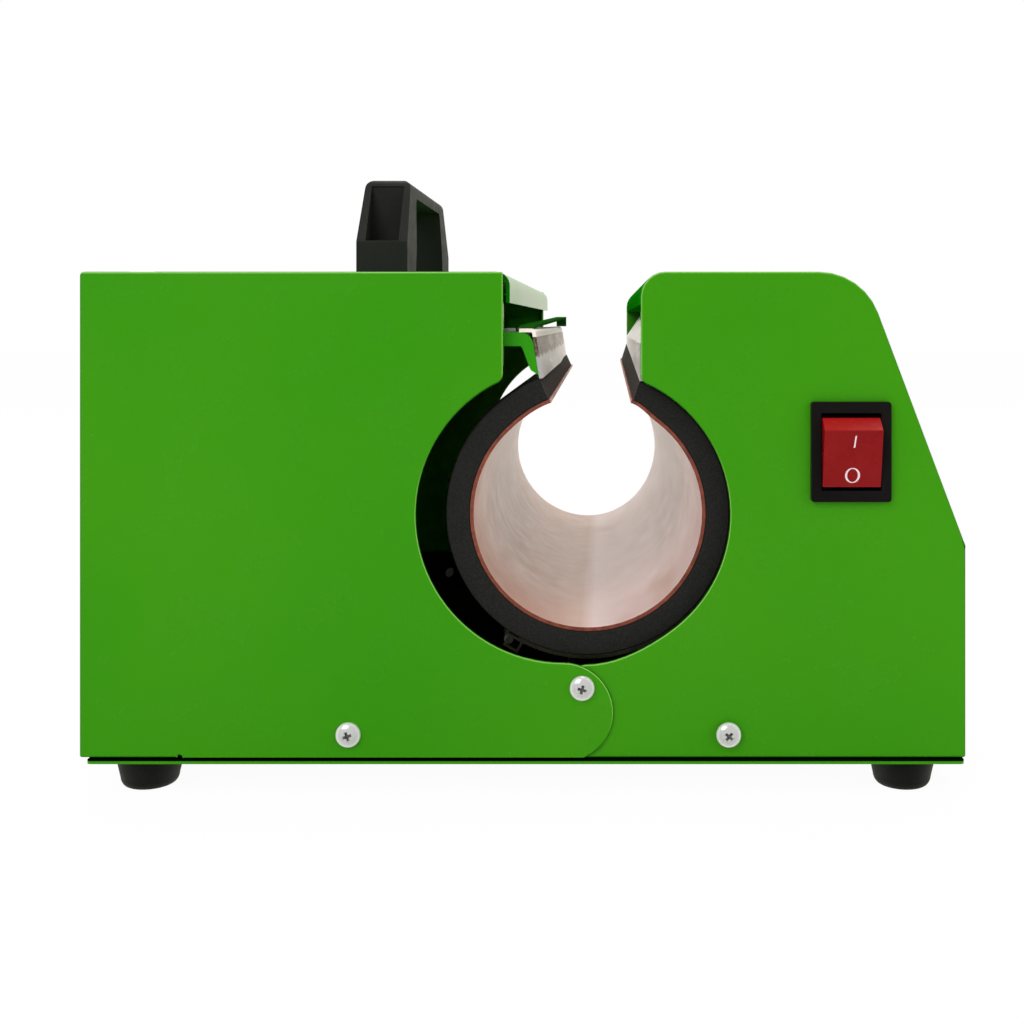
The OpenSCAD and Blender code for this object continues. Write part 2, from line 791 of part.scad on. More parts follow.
module control_board() {
    chip = 9;
    chip_t = 2;
    key_w = 6;
    corner = 1;
    color("seagreen") on_slope() difference() {
        union() {
            plate_on_slope(board_l, board_w, -board_drop - board_t, -board_drop, corner);
            translate([lens_at - lens_l / 2, -lens_w / 2, -board_drop])
                cube([lens_l, lens_w, board_drop - gap]);
            for (i = [0:button_n - 1])
                translate([button_at - key_w / 2, button_y(i) - key_w / 2, -board_drop])
                    cube([key_w, key_w, key_h]);
            for (sy = [-1, 0, 1])
                translate([-chip / 2, sy * board_w / 4 - chip / 2, -board_drop - board_t - chip_t])
                    cube([chip, chip, chip_t + board_t / 2]);
        }
        at_posts() translate([0, 0, -2 * board_t]) cylinder(h = 4 * board_t, r = post_screw_r + screw_clear);
    }
}

module board_standoffs() {
    color("silver") on_slope() at_posts() {
        cylinder(h = board_drop, r = post_r);
        translate([0, 0, -2 * board_t]) cylinder(h = 2 * board_t, r = post_screw_r);
        translate([0, 0, -2 * board_t]) cylinder(h = board_t, r = post_r);
    }
}

// Power parts on the tray
module tray_block(at, size, low) {
    translate([at[0], at[1], low + size[2] / 2]) cube(size, center = true);
}

transformer_at = [half_w * 0.76, -half_d * 0.23];
core_l = 40;
core_w = 46;
core_h = 34;
coil_l = 48;
coil_w = 34;
coil_h = 22;
module transformer() {
    core = [core_l, core_w, core_h];
    coil = [coil_l, coil_w, coil_h];
    color("slategray") {
        tray_block(transformer_at, core, tray_top);
        tray_block(transformer_at, coil, tray_top + (core[2] - coil[2]) / 2);
    }
}

relay_at = [half_w * 0.75, half_d * 0.18];
relay_l = 28;
relay_w = 24;
relay_h = 26;
tag_t = 1;
tag_w = 6;
tag_h = 7;
module power_relay() {
    size = [relay_l, relay_w, relay_h];
    tag = [tag_t, tag_w, tag_h];
    color("black") {
        tray_block(relay_at, size, tray_top);
        for (sx = [-1, 1], sy = [-1, 1])
            tray_block(relay_at + [sx * size[0] / 3, sy * size[1] / 4], tag, tray_top + size[2]);
    }
}

terminal_at = [half_w * 0.75, half_d * 0.53];
way_l = 18;
way_w = 9;
way_h = 14;
module terminal_block() {
    ways = 4;
    way = [way_l, way_w, way_h];
    color("white") difference() {
        tray_block(terminal_at, [way[0], way[1] * ways, way[2]], tray_top);
        for (i = [0:ways - 1])
            translate([terminal_at[0], terminal_at[1] + way[1] * (i - (ways - 1) / 2), tray_top + way[2] / 2])
                cylinder(h = way[2], r = way[1] / 3);
        for (i = [1:ways - 1])
            tray_block([terminal_at[0], terminal_at[1] + way[1] * (i - ways / 2)],
                [2 * way[0], 2 * gap, way[2]], tray_top + way[2] / 2);
    }
}

// Mains inlet on the far plate, with its fuse drawer below the socket
socket_w = 22;
socket_h = 15.5;
socket_deep = 16;
drawer_w = 18;
drawer_h = 7;
socket_rim = 4;
drawer_rim = 1.4;
socket_z = inlet_z + inlet_h / 2 - socket_h / 2 - socket_rim;
drawer_z = inlet_z - inlet_h / 2 + drawer_h / 2 + drawer_rim;
inlet_deep = 20;
flange_proud = 1;
flange_r = 3;

// Outline about a centre on a side plate: w along X, h along Z, corner radius r
function plate_outline(x, z, w, h, r) = rounded([[x - w / 2, z - h / 2, r], [x + w / 2, z - h / 2, r],
    [x + w / 2, z + h / 2, r], [x - w / 2, z + h / 2, r]]);

module power_inlet() {
    blade_t = 2;
    blade_w = 4;
    earth_up = 2;
    half = socket_w / 2;
    slant = socket_w / 3;
    low = socket_z - socket_h / 2;
    high = socket_z + socket_h / 2;
    color("black") {
        difference() {
            union() {
                along_y(rear_y, rear_y + flange_proud) polygon(plate_outline(inlet_x, inlet_z,
                    inlet_w + 2 * inlet_flange, inlet_h + inlet_flange, flange_r));
                block([inlet_x - inlet_w / 2, rear_y - inlet_deep, inlet_z - inlet_h / 2],
                    [inlet_x + inlet_w / 2, rear_y, inlet_z + inlet_h / 2]);
            }
            along_y(rear_y - socket_deep, half_d + over) translate([inlet_x, 0])
                polygon([[-half, low], [half, low], [half, high - socket_h / 3], [slant, high], [-slant, high],
                    [-half, high - socket_h / 3]]);
            block([inlet_x - drawer_w / 2 - gap, rear_y - socket_deep, drawer_z - drawer_h / 2 - gap],
                [inlet_x + drawer_w / 2 + gap, half_d + over, drawer_z + drawer_h / 2 + gap]);
        }
        for (i = [-1, 0, 1])
            along_y(rear_y - socket_deep - over, rear_y - blade_w)
                translate([inlet_x + i * slant, socket_z + (i == 0 ? earth_up : 0)])
                    square([blade_t, blade_w], center = true);
    }
}

module fuse_drawer() {
    lip_t = 1;
    color("black") {
        block([inlet_x - drawer_w / 2, rear_y - socket_deep, drawer_z - drawer_h / 2],
            [inlet_x + drawer_w / 2, rear_y + flange_proud, drawer_z + drawer_h / 2]);
        block([inlet_x - drawer_w / 4, rear_y, drawer_z - drawer_h / 2 + lip_t],
            [inlet_x + drawer_w / 4, rear_y + flange_proud * 1.2, drawer_z]);
    }
}

// Rocker switch
bezel_proud = 2.2;
bezel_face_y = -rear_y - bezel_proud;
rocker_w = 18.6;
rocker_hole_h = 24.8;
switch_deep = 22;
rocker_axle_out = 5.2;
rocker_axle = [bezel_face_y + rocker_axle_out, switch_z];
axle_r = 1.6;
module switch_bezel() {
    corner = 1;
    deep = 12;
    hole_w = rocker_w + 2 * gap;
    color("black") difference() {
        union() {
            along_y(bezel_face_y, -rear_y) polygon(plate_outline(switch_x, switch_z, bezel_w, bezel_h, corner));
            block([switch_x - switch_body_w / 2, -rear_y, switch_z - switch_body_h / 2],
                [switch_x + switch_body_w / 2, -rear_y + switch_deep, switch_z + switch_body_h / 2]);
        }
        block([switch_x - hole_w / 2, bezel_face_y - over, switch_z - rocker_hole_h / 2],
            [switch_x + hole_w / 2, bezel_face_y + deep + rocker_axle_out, switch_z + rocker_hole_h / 2]);
        translate([switch_x - switch_body_w / 2 - over, rocker_axle[0], rocker_axle[1]]) rotate([0, 90, 0])
            cylinder(h = switch_body_w + 2 * over, r = axle_r + shaft_fit);
    }
}

// Side profile of the rocker as shares of its half height: outward, upward from the axle
rocker_half = 11.2;
rocker_shares = [[0.50, -1.00], [0.86, 0.645], [0.45, 0.973], [-0.27, 0.93], [-0.55, 0.35], [-0.55, -0.35],
    [-0.27, -0.93]];
module switch_rocker() {
    stub = 1.6;
    color("firebrick") {
        translate([switch_x - rocker_w / 2, rocker_axle[0], rocker_axle[1]]) rotate([90, 0, 90])
            linear_extrude(rocker_w) polygon([for (p = rocker_shares) [-p[0], p[1]] * rocker_half]);
        translate([switch_x - rocker_w / 2 - stub, rocker_axle[0], rocker_axle[1]]) rotate([0, 90, 0])
            cylinder(h = rocker_w + 2 * stub, r = axle_r);
    }
}

// Lid that is the clamp lever, with its rolled rear edge about the hinge and its front lip
lip_x = rear_edge_x + lip_stand;
lip_low = body_h - lip_h;
roll_a = 168;
module lever_cover() {
    rear = arc(hinge, hinge_r, roll_a, 90, 10);
    inside = arc(hinge, hinge_r - sheet_t, 90, roll_a, 10);
    front = open_path([[hinge_x, body_h, 0], [lip_x, body_h, lip_r], [lip_x, lip_low, 0]], 8);
    back = open_path([[hinge_x, lid_under, 0], [lip_x - sheet_t, lid_under, lip_r - sheet_t],
        [lip_x - sheet_t, lip_low, 0]], 8);
    color("forestgreen") difference() {
        along_y(-lid_y, lid_y) polygon(concat(rear, tail(front), reversed(tail(back)), inside));
        for (sy = [-1, 1])
            translate([handle_x, sy * handle_screw_y, lid_under - over])
                cylinder(h = sheet_t + 2 * over, r = screw_r + screw_clear);
    }
}

// Cam plates under the lid: the slot is the path of the jaw's pin as the lid swings up
slot_steps = 16;
function pin_in_lid(a) = turned(turned(cam_pin, jaw_pivot, a * jaw_ratio), hinge, -a);
slot_path = [for (i = [-1:slot_steps + 1]) pin_in_lid(lever_travel * i / slot_steps)];
slot_r = cam_pin_r + gap;
function slot_normal(i) = let (k = len(slot_path))
    left_of(unit(slot_path[min(i + 1, k - 1)] - slot_path[max(i - 1, 0)]));
slot_end = slot_path[slot_steps + 2];
cam_margin = 6;
module lever_cams() {
    k = len(slot_path) - 1;
    wide = slot_r + cam_margin;
    color("gainsboro") both_sides() difference() {
        union() {
            rod_y(hinge, -cam_y - cam_t, -cam_y, ear_r);
            along_y(-cam_y - cam_t, -cam_y) polygon(concat(
                [[hinge_x, lid_under], [hinge_x, hinge_z - ear_r]],
                [slot_end + [-wide, wide]],
                arc(slot_end, wide, 180, 270, 6),
                [for (i = [k - 1:-1:1]) slot_path[i] + slot_normal(i) * wide],
                arc(slot_path[0], wide, -30, 60, 6),
                [[slot_path[0][0] + wide / 2, lid_under]]));
        }
        along_y(-half_d, 0) polygon(concat(
            [for (i = [0:k]) slot_path[i] + slot_normal(i) * slot_r],
            [for (i = [k:-1:0]) slot_path[i] - slot_normal(i) * slot_r]));
        rod_y(slot_path[0], -half_d, 0, slot_r);
        rod_y(slot_end, -half_d, 0, slot_r);
        rod_y(hinge, -half_d, 0, shaft_r + shaft_fit);
    }
}

// Bridge handle: straight feet, then sloped ends with a screw pocket, a grip bar and the finger gap
handle_back = 78.5;
handle_x = wrap_x - handle_back;
handle_foot_h = 14.3;
handle_lean = 15;
handle_taper = 1;
handle_edge_r = 3.4;
grip_t = 6;
leg_foot = 21;
leg_top = 13;
pocket_w = 12.5;
pocket_wall = 2.5;
pocket_deep = 14;
handle_half = handle_len / 2;
grip_taper = 1;
grip_in_r = 3;
shoulder_y_r = 1;
shoulder_x_r = 2;
handle_screw_in = 8.5;
handle_screw_y = handle_half - handle_screw_in;
screw_seat_z = body_h + handle_foot_h - screw_head_h * 1.4;
module lever_handle() {
    top = body_h + handle_h;
    shoulder = body_h + handle_foot_h;
    foot_in = handle_half - leg_foot;
    top_in = handle_half - handle_lean - leg_top;
    color("dimgray") difference() {
        intersection() {
            translate([handle_x + handle_w / 2, 0, 0]) rotate([90, 0, -90]) linear_extrude(handle_w)
                polygon(rounded([[-handle_half, body_h, 0], [-foot_in, body_h, 0],
                    [-top_in - grip_taper, top - grip_t, grip_in_r],
                    [top_in + grip_taper, top - grip_t, grip_in_r],
                    [foot_in, body_h, 0], [handle_half, body_h, 0], [handle_half, shoulder, shoulder_y_r],
                    [handle_half - handle_lean, top, handle_edge_r],
                    [-handle_half + handle_lean, top, handle_edge_r], [-handle_half, shoulder, shoulder_y_r]]));
            along_y(-half_d, half_d) polygon(rounded([[handle_x - handle_w / 2, body_h, 0],
                [handle_x + handle_w / 2, body_h, 0], [handle_x + handle_w / 2, shoulder, shoulder_x_r],
                [handle_x + handle_w / 2 - handle_taper, top, handle_edge_r],
                [handle_x - handle_w / 2 + handle_taper, top, handle_edge_r],
                [handle_x - handle_w / 2, shoulder, shoulder_x_r]]));
        }
        both_sides() block([handle_x - pocket_w / 2, -handle_half - over, shoulder + gap],
            [handle_x + pocket_w / 2, -handle_half + pocket_deep, top - pocket_wall]);
        for (sy = [-1, 1])
            translate([handle_x, sy * handle_screw_y, 0]) {
                translate([0, 0, body_h - over])
                    cylinder(h = handle_foot_h + 2 * over, r = screw_r + screw_clear);
                translate([0, 0, screw_seat_z]) cylinder(h = handle_foot_h, r = screw_head_r + screw_clear);
            }
    }
}

module handle_screws() {
    nut_h = 3;
    head_z = screw_seat_z;
    color("silver") for (sy = [-1, 1])
        translate([handle_x, sy * handle_screw_y, 0]) {
            translate([0, 0, lid_under - nut_h]) cylinder(h = head_z - lid_under + nut_h, r = screw_r);
            translate([0, 0, head_z]) cylinder(h = screw_head_h, r = screw_head_r);
            translate([0, 0, lid_under - nut_h]) cylinder(h = nut_h, r = screw_head_r, $fn = 6);
        }
}

// Jaw
lip_out = polar(wrap_c, band_r + band_t, moving_end_a);
elbow_back = 18.3;
elbow = [wrap_x - elbow_back, arm_top];
clamp_face = 1;
tab_back = 27.3;
tab_w = 10.7;
tab_h_share = 0.306;
tab_r_share = 0.7;
tab_h = (lid_under - arm_top) * tab_h_share;
tab_r = tab_h * tab_r_share;
tab_x = elbow[0] - tab_back;
clamp_width = 2.6;
knee_x = elbow[0] - 3.2;
knee_r = 1;
module jaw_arms() {
    color("limegreen") both_sides() difference() {
        union() {
            along_y(-arm_y - arm_t, -arm_y) polygon(rounded([[cam_pin[0], arm_top, 0],
                [elbow[0], elbow[1], arm_h], [lip_out[0], lip_out[1] + clamp_face, 0],
                [lip_out[0] - clamp_width, lip_out[1] + clamp_width, knee_r],
                [knee_x, arm_top - arm_h, knee_r], [cam_pin[0], arm_top - arm_h, 0]]));
            rod_y(cam_pin, -arm_y - arm_t, -arm_y, boss_r);
            along_y(-arm_y - arm_t, -arm_y) polygon(rounded([[tab_x, arm_top - arm_h / 2, 0],
                [tab_x + tab_w, arm_top - arm_h / 2, 0], [tab_x + tab_w, arm_top + tab_h, tab_r],
                [tab_x, arm_top + tab_h, tab_r / 2]]));
        }
        rod_y(cam_pin, -half_d, 0, cam_pin_r);
    }
}

module jaw_cam_pins() {
    e_clip = 0.8;
    color("silver") both_sides() {
        rod_y(cam_pin, -arm_y - arm_t - e_clip, -cam_y + 2 * e_clip, cam_pin_r);
        rod_y(cam_pin, -cam_y + gap, -cam_y + gap + e_clip, cam_pin_r + 2 * e_clip);
        rod_y(cam_pin, -arm_y - arm_t - e_clip, -arm_y - arm_t, cam_pin_r + e_clip);
    }
}

jaw_screw_back = 11;
clamp_back = 4;
cross_w = 12;
fold_out = 1.2;
fold_r = 1.6;
lip_reach = 1.4;
jaw_screw_x = elbow[0] - jaw_screw_back;
clamp_rear = elbow[0] - clamp_back;
module jaw_cross_plate() {
    rear_x = clamp_rear - cross_w;
    color("limegreen") difference() {
        along_y(-arm_y, arm_y) polygon(strip([[rear_x, arm_top - arm_h, 0], [rear_x, arm_top, 2 * sheet_t],
            [clamp_rear - gap, arm_top, 0]], -sheet_t));
        for (sy = [-1, 0, 1])
            translate([jaw_screw_x, sy * wrap_len / 3, arm_top - 2 * sheet_t])
                cylinder(h = 2 * sheet_t + over, r = screw_r * 0.7);
    }
}

module jaw_clamp_plate() {
    color("silver") along_y(wrap_near, wrap_far) polygon(strip([
        [clamp_rear, elbow[1] + sheet_t, 0], [elbow[0] + fold_out, elbow[1] + sheet_t, fold_r],
        [lip_out[0] + lip_reach, lip_out[1], 0]], -sheet_t));
}

// Spring strip on the clamp plate: it rises from its near end to a post at its far end
blade_t = 0.9;
blade_w = 5;
blade_rise = 4;
blade_post = 2;
blade_inset = 4;
blade_shift = 3;
module jaw_blade() {
    low = elbow[1] + sheet_t + gap / 3;
    x = clamp_rear - gap;
    near = wrap_near + blade_inset;
    far = wrap_far - blade_inset;
    lean = [[1, blade_shift / (far - near), 0, x], [0, 1, 0, near],
        [0, blade_rise / (far - near), 1, low], [0, 0, 0, 1]];
    color("limegreen") {
        multmatrix(lean) cube([blade_w, far - near, blade_t]);
        block([x + blade_shift, far - blade_post, low], [x + blade_shift + blade_w, far, low + blade_rise]);
    }
}

module jaw_screws() {
    color("silver") for (sy = [-1, 0, 1])
        translate([jaw_screw_x, sy * wrap_len / 3, arm_top]) {
            cylinder(h = screw_head_h / 2, r = screw_r * 1.4);
            translate([0, 0, -2 * sheet_t]) cylinder(h = 2 * sheet_t, r = screw_r * 0.7);
        }
}

base_tray();
rubber_feet();
foot_screws();
rear_side_near();
rear_side_far();
rear_end_panel();
console_side_near();
console_side_far();
console_wrapper();
console_inner_wall();
housing_screws();
frame_plates();
lever_shaft();
shaft_bushes();
shaft_collars();
wrap_cradle();
cradle_brackets();
cradle_spacers();
wrap_hinge_pin();
wrap_foam_fixed();
wrap_heater_fixed();
fixed_clamp_bracket();
fixed_clamp_plate();
controller_bezel();
display_lens();
control_board();
board_standoffs();
power_relay();
transformer();
terminal_block();
power_inlet();
fuse_drawer();
switch_bezel();
lever_cover();
lever_cams();
lever_handle();
handle_screws();
jaw_arms();
jaw_cross_plate();
jaw_clamp_plate();
jaw_blade();
jaw_screws();
jaw_cam_pins();
wrap_foam_moving();
wrap_heater_moving();
wrap_band_moving();
switch_rocker();
button_mode();
button_down();
button_up();
button_start();
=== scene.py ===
import math

import bmesh
import bpy
from mathutils import Matrix, Vector


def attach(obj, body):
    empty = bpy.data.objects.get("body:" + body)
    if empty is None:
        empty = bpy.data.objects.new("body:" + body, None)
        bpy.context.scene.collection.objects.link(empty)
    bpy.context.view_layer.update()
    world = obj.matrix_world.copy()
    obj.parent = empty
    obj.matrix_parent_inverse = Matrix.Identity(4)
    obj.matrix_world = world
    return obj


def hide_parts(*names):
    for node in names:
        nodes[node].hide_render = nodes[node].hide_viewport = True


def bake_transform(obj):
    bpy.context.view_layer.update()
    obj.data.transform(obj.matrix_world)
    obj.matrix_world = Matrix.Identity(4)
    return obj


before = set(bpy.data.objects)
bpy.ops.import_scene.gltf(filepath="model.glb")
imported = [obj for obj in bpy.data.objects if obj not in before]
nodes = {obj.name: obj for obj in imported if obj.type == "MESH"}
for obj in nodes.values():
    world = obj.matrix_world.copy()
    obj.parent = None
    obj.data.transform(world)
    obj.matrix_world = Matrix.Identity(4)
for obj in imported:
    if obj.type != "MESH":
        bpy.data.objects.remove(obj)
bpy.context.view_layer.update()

MM = 0.001


def linked(name, data):
    """An object that shows the data, in the scene."""
    piece = bpy.data.objects.new(name, data)
    bpy.context.scene.collection.objects.link(piece)
    return piece


# Camera
CAMERA_AT = (0.0262, -0.533, 0.1523)
CLIP = (0.01, 50)
PIXELS = 1024
FOCAL_PX = 1250
AXIS_PX = (605, 323)
SENSOR = 36

camera_data = bpy.data.cameras.new("camera")
camera_data.sensor_width = SENSOR
camera_data.lens = FOCAL_PX * SENSOR / PIXELS
camera_data.shift_x = (PIXELS / 2 - AXIS_PX[0]) / PIXELS
camera_data.shift_y = (AXIS_PX[1] - PIXELS / 2) / PIXELS
camera_data.clip_start, camera_data.clip_end = CLIP
camera = linked("camera", camera_data)
camera.location = CAMERA_AT
camera.rotation_euler = (math.pi / 2, 0, 0)
bpy.context.scene.camera = camera


# Colours
def rgb(r, g, b):
    """An sRGB colour, 0 to 255, as the linear colour that a shader takes."""
    def linear(c):
        c /= 255
        return c / 12.92 if c <= 0.04045 else ((c + 0.055) / 1.055) ** 2.4
    return (linear(r), linear(g), linear(b), 1)


# Materials
class Surface:
    """A material being built: a Principled shader, and helpers that add nodes in the object's own coordinates."""

    def __init__(self, name, roughness, metallic=0.0, **inputs):
        self.material = bpy.data.materials.new(name)
        self.material.use_nodes = True
        self.tree = self.material.node_tree
        self.shader = self.tree.nodes["Principled BSDF"]
        self.shader.inputs["Roughness"].default_value = roughness
        self.shader.inputs["Metallic"].default_value = metallic
        for key, value in inputs.items():
            self.shader.inputs[key.replace("_", " ")].default_value = value
        self.coordinates = self.tree.nodes.new("ShaderNodeTexCoord")
        self.place = self.coordinates.outputs["Object"]
        self.normal = None

    def add(self, kind, **settings):
        node = self.tree.nodes.new(kind)
        for key, value in settings.items():
            setattr(node, key, value)
        return node

    def link(self, output, target):
        self.tree.links.new(output, target)
        return target

    def stretched(self, scale, turn=(0, 0, 0)):
        mapping = self.add("ShaderNodeMapping")
        mapping.inputs["Scale"].default_value = scale
        mapping.inputs["Rotation"].default_value = turn
        self.link(self.place, mapping.inputs["Vector"])
        return mapping.outputs["Vector"]

    def noise(self, scale, detail=3, roughness=0.55, stretch=None):
        node = self.add("ShaderNodeTexNoise")
        node.inputs["Scale"].default_value = scale
        node.inputs["Detail"].default_value = detail
        node.inputs["Roughness"].default_value = roughness
        self.link(self.stretched(stretch) if stretch else self.place, node.inputs["Vector"])
        return node.outputs["Fac"]

    def cells(self, scale, randomness=1.0):
        node = self.add("ShaderNodeTexVoronoi")
        node.inputs["Scale"].default_value = scale
        node.inputs["Randomness"].default_value = randomness
        self.link(self.place, node.inputs["Vector"])
        return node.outputs["Distance"]

    def ramp(self, value, *stops):
        """Maps a value to colours, with stops given as (position, colour)."""
        node = self.add("ShaderNodeValToRGB")
        band = node.color_ramp
        while len(band.elements) < len(stops):
            band.elements.new(0.5)
        for element, (position, colour) in zip(band.elements, stops):
            element.position = position
            element.color = colour
        self.link(value, node.inputs["Fac"])
        return node.outputs["Color"]

    def spread(self, value, low, high, from_low=0.3, from_high=0.7):
        node = self.add("ShaderNodeMapRange")
        limits = {"From Min": from_low, "From Max": from_high, "To Min": low, "To Max": high}
        for key, number in limits.items():
            node.inputs[key].default_value = number
        self.link(value, node.inputs["Value"])
        return node.outputs["Result"]

    def speckled(self, field, *stops):
        """Colours the surface by a noise field, with stops given as (value, colour)."""
        return self.colour(self.ramp(field, *stops))

    def mix(self, factor, first, second):
        node = self.add("ShaderNodeMix", data_type="RGBA")
        for socket, value in ((node.inputs[0], factor), (node.inputs[6], first), (node.inputs[7], second)):
            if isinstance(value, bpy.types.NodeSocket):
                self.link(value, socket)
            else:
                socket.default_value = value
        return node.outputs[2]

    def math(self, operation, first, second=0.0):
        node = self.add("ShaderNodeMath", operation=operation)
        for socket, value in zip(node.inputs, (first, second)):
            if isinstance(value, bpy.types.NodeSocket):
                self.link(value, socket)
            else:
                socket.default_value = value
        return node.outputs["Value"]

    def axis(self, name):
        node = self.add("ShaderNodeSeparateXYZ")
        self.link(self.place, node.inputs["Vector"])
        return node.outputs[name]

    def colour(self, output):
        self.link(output, self.shader.inputs["Base Color"])
        return self

    def roughen(self, value, low, high):
        self.link(self.spread(value, low, high), self.shader.inputs["Roughness"])
        return self

    def bump(self, height, strength, distance):
        node = self.add("ShaderNodeBump")
        node.inputs["Strength"].default_value = strength
        node.inputs["Distance"].default_value = distance
        self.link(height, node.inputs["Height"])
        if self.normal:
            self.link(self.normal, node.inputs["Normal"])
        self.normal = node.outputs["Normal"]
        self.link(self.normal, self.shader.inputs["Normal"])
        return self


# The rounded edge of a plate, by how squarely a point faces the plate's front: where its cut face ends, where its
# dark outermost line turns into its lit line, and where that ends. Both lines are painted light: painted shade,
# then a painted highlight
RIM_CUT = (0.05, 0.15)
RIM_TURN = (0.55, 0.7)
RIM_FLAT = (0.95, 0.99)
RIM_SHADE, RIM_LIT, RIM_OUTERMOST_SHADE = rgb(20, 92, 2), rgb(132, 204, 84), rgb(28, 100, 4)


def make_paint(name, dark, light, gloss, coat=0.0, shine=0.28, peel=0.5, rim=None, shadow=None):
    """Sprayed paint: faint clouds in the colour, orange peel, and small changes of gloss.

    rim is how much an edge that faces +X counts as lit, beside one that faces up. A plate's rounded edges hold
    painted light: a painted highlight where they face the light, painted shade where not, and a painted dark line
    at the outermost edge.
    shadow is (axis, start, end, colour): painted shade. Past the end the paint has that colour, and no shine.
    """
    s = Surface(name, gloss, Coat_Weight=coat, Coat_Roughness=0.12, Specular_IOR_Level=shine)
    tone = s.ramp(s.noise(7, 2), (0.35, dark), (0.65, light))
    if rim is not None:
        facing = s.add("ShaderNodeSeparateXYZ")
        s.link(s.coordinates.outputs["Normal"], facing.inputs["Vector"])
        flat = s.math("ABSOLUTE", facing.outputs["Y"])
        rounded = s.math("MULTIPLY", s.spread(flat, 0, 1, *RIM_TURN), s.spread(flat, 1, 0, *RIM_FLAT))
        outermost = s.math("MULTIPLY", s.spread(flat, 0, 1, *RIM_CUT), s.spread(flat, 1, 0, *RIM_TURN))
        # Painted light on the rounded edges, by which way they face: painted highlight, painted shade, painted dark
        # line
        lit = s.math("ADD", facing.outputs["Z"], s.math("MULTIPLY", facing.outputs["X"], rim))
        edge = s.ramp(s.spread(lit, 0, 1, -0.4, 0.4), (0.1, RIM_SHADE), (0.5, light), (0.9, RIM_LIT))
        tone = s.mix(outermost, s.mix(rounded, tone, edge), RIM_OUTERMOST_SHADE)
    if shadow is not None:
        # Painted shade: past the end the colour turns to the given dark tone
        axis, start, end, colour = shadow
        where = s.math("ABSOLUTE", s.axis(axis))
        tone = s.mix(s.spread(where, 0, 1, start, end), tone, colour)
        s.link(s.spread(where, shine, 0, start, end), s.shader.inputs["Specular IOR Level"])
    s.colour(tone)
    uneven = 0.2 + 0.8 * peel
    s.roughen(s.noise(60, 4), gloss - 0.04 * uneven, gloss + 0.05 * uneven)
    s.bump(s.noise(1400, 2), 0.12 * peel, 0.00005)
    return s.material


def make_moulded(name, dark, light, gloss, grain, depth, shine=0.5):
    """Moulded plastic or rubber: a fine grain, and a soft change of tone."""
    s = Surface(name, gloss, Specular_IOR_Level=shine)
    grains = s.cells(grain)
    s.colour(s.mix(s.spread(s.noise(40, 3), 0, 1), dark, light))
    s.roughen(s.noise(180, 3), gloss - 0.05, gloss + 0.07)
    s.bump(grains, 0.35, depth)
    return s.material


def make_metal(name, colour, stain, gloss, stretch, metallic=1.0):
    """Bare or plated metal: brushed along one axis, with faint stains."""
    s = Surface(name, gloss, metallic=metallic)
    lines = s.noise(900, 3, stretch=stretch)
    s.speckled(s.noise(35, 4), (0.35, stain), (0.6, colour))
    s.roughen(lines, gloss - 0.05, gloss + 0.09)
    s.bump(lines, 0.12, 0.00004)
    return s.material


def make_foam():
    """Closed-cell foam: fine bright cells on near black."""
    s = Surface("foam", 0.95, Specular_IOR_Level=0.25)
    fine = s.noise(4200, 2, 0.7)
    s.colour(s.mix(s.spread(s.noise(60, 2), 0, 0.3), s.ramp(
        fine, (0.40, rgb(25, 25, 24)), (0.55, rgb(35, 35, 33)), (0.75, rgb(58, 57, 54))), rgb(38, 36, 33)))
    s.bump(s.cells(2600), 0.5, 0.00012)
    s.bump(s.noise(700, 3), 0.25, 0.0002)
    return s.material


def make_foam_cut():
    """The sponge-cut ends of the foam, paler than its skin."""
    s = Surface("foam_cut", 0.9, Specular_IOR_Level=0.25)
    s.speckled(s.noise(2200, 2, 0.7), (0.4, rgb(46, 41, 37)), (0.55, rgb(60, 54, 49)), (0.72, rgb(90, 83, 75)))
    s.bump(s.cells(1500), 0.6, 0.00025)
    return s.material


# Where the bore passes from the jaw's side to the fixed side, and along which stretch the jaw's side grows darker
JAW_SIDE_X = (0.0180, 0.0225)
JAW_SIDE_DARKER_Y = (-0.09, 0.09)


def make_liner():
    """The heater's coated face: warm white, darker and browner on the jaw's side, more so at the far end."""
    s = Surface("heater_face", 0.34, Coat_Weight=0.3, Coat_Roughness=0.2)
    streaks = s.noise(22, 3, 0.55, stretch=(1, 0.3, 1))
    fixed = s.ramp(streaks, (0.35, rgb(226, 200, 194)), (0.65, rgb(238, 220, 219)))
    jaw = s.ramp(streaks, (0.35, rgb(200, 160, 142)), (0.65, rgb(214, 182, 168)))
    jaw = s.mix(s.spread(s.axis("Y"), 0, 0.6, *JAW_SIDE_DARKER_Y), jaw, rgb(206, 160, 138))
    tone = s.mix(s.spread(s.axis("X"), 0, 1, *JAW_SIDE_X), jaw, fixed)
    blots = s.spread(s.noise(34, 2, stretch=(1, 0.5, 1)), 0, 0.7, 0.55, 0.72)
    s.colour(s.mix(blots, tone, rgb(204, 166, 150)))
    s.roughen(s.noise(150, 3), 0.3, 0.44)
    s.bump(s.noise(320, 2, stretch=(1, 0.2, 1)), 0.12, 0.0001)
    return s.material


def make_copper_edge():
    """The cut edge of the heater sheet: brown-red silicone with thin layers."""
    s = Surface("heater_edge", 0.6)
    s.speckled(s.noise(420, 3), (0.3, rgb(112, 48, 32)), (0.7, rgb(148, 72, 48)))
    s.bump(s.noise(1200, 2), 0.3, 0.0001)
    return s.material


def make_lip():
    """The bare silicone at the heater's two long cut edges: pale pink."""
    s = Surface("heater_lip", 0.5)
    s.speckled(s.noise(300, 3, stretch=(1, 0.2, 1)), (0.3, rgb(205, 150, 136)), (0.7, rgb(232, 190, 178)))
    s.bump(s.noise(1200, 2), 0.2, 0.00008)
    return s.material


# The speckled band's lower edge is ragged and fades in. A dark line ends it just under the fold
RAGGED = 0.004
BAND_FADE = 0.0012
FOLD_LINE = (0.00045, 0.0003)


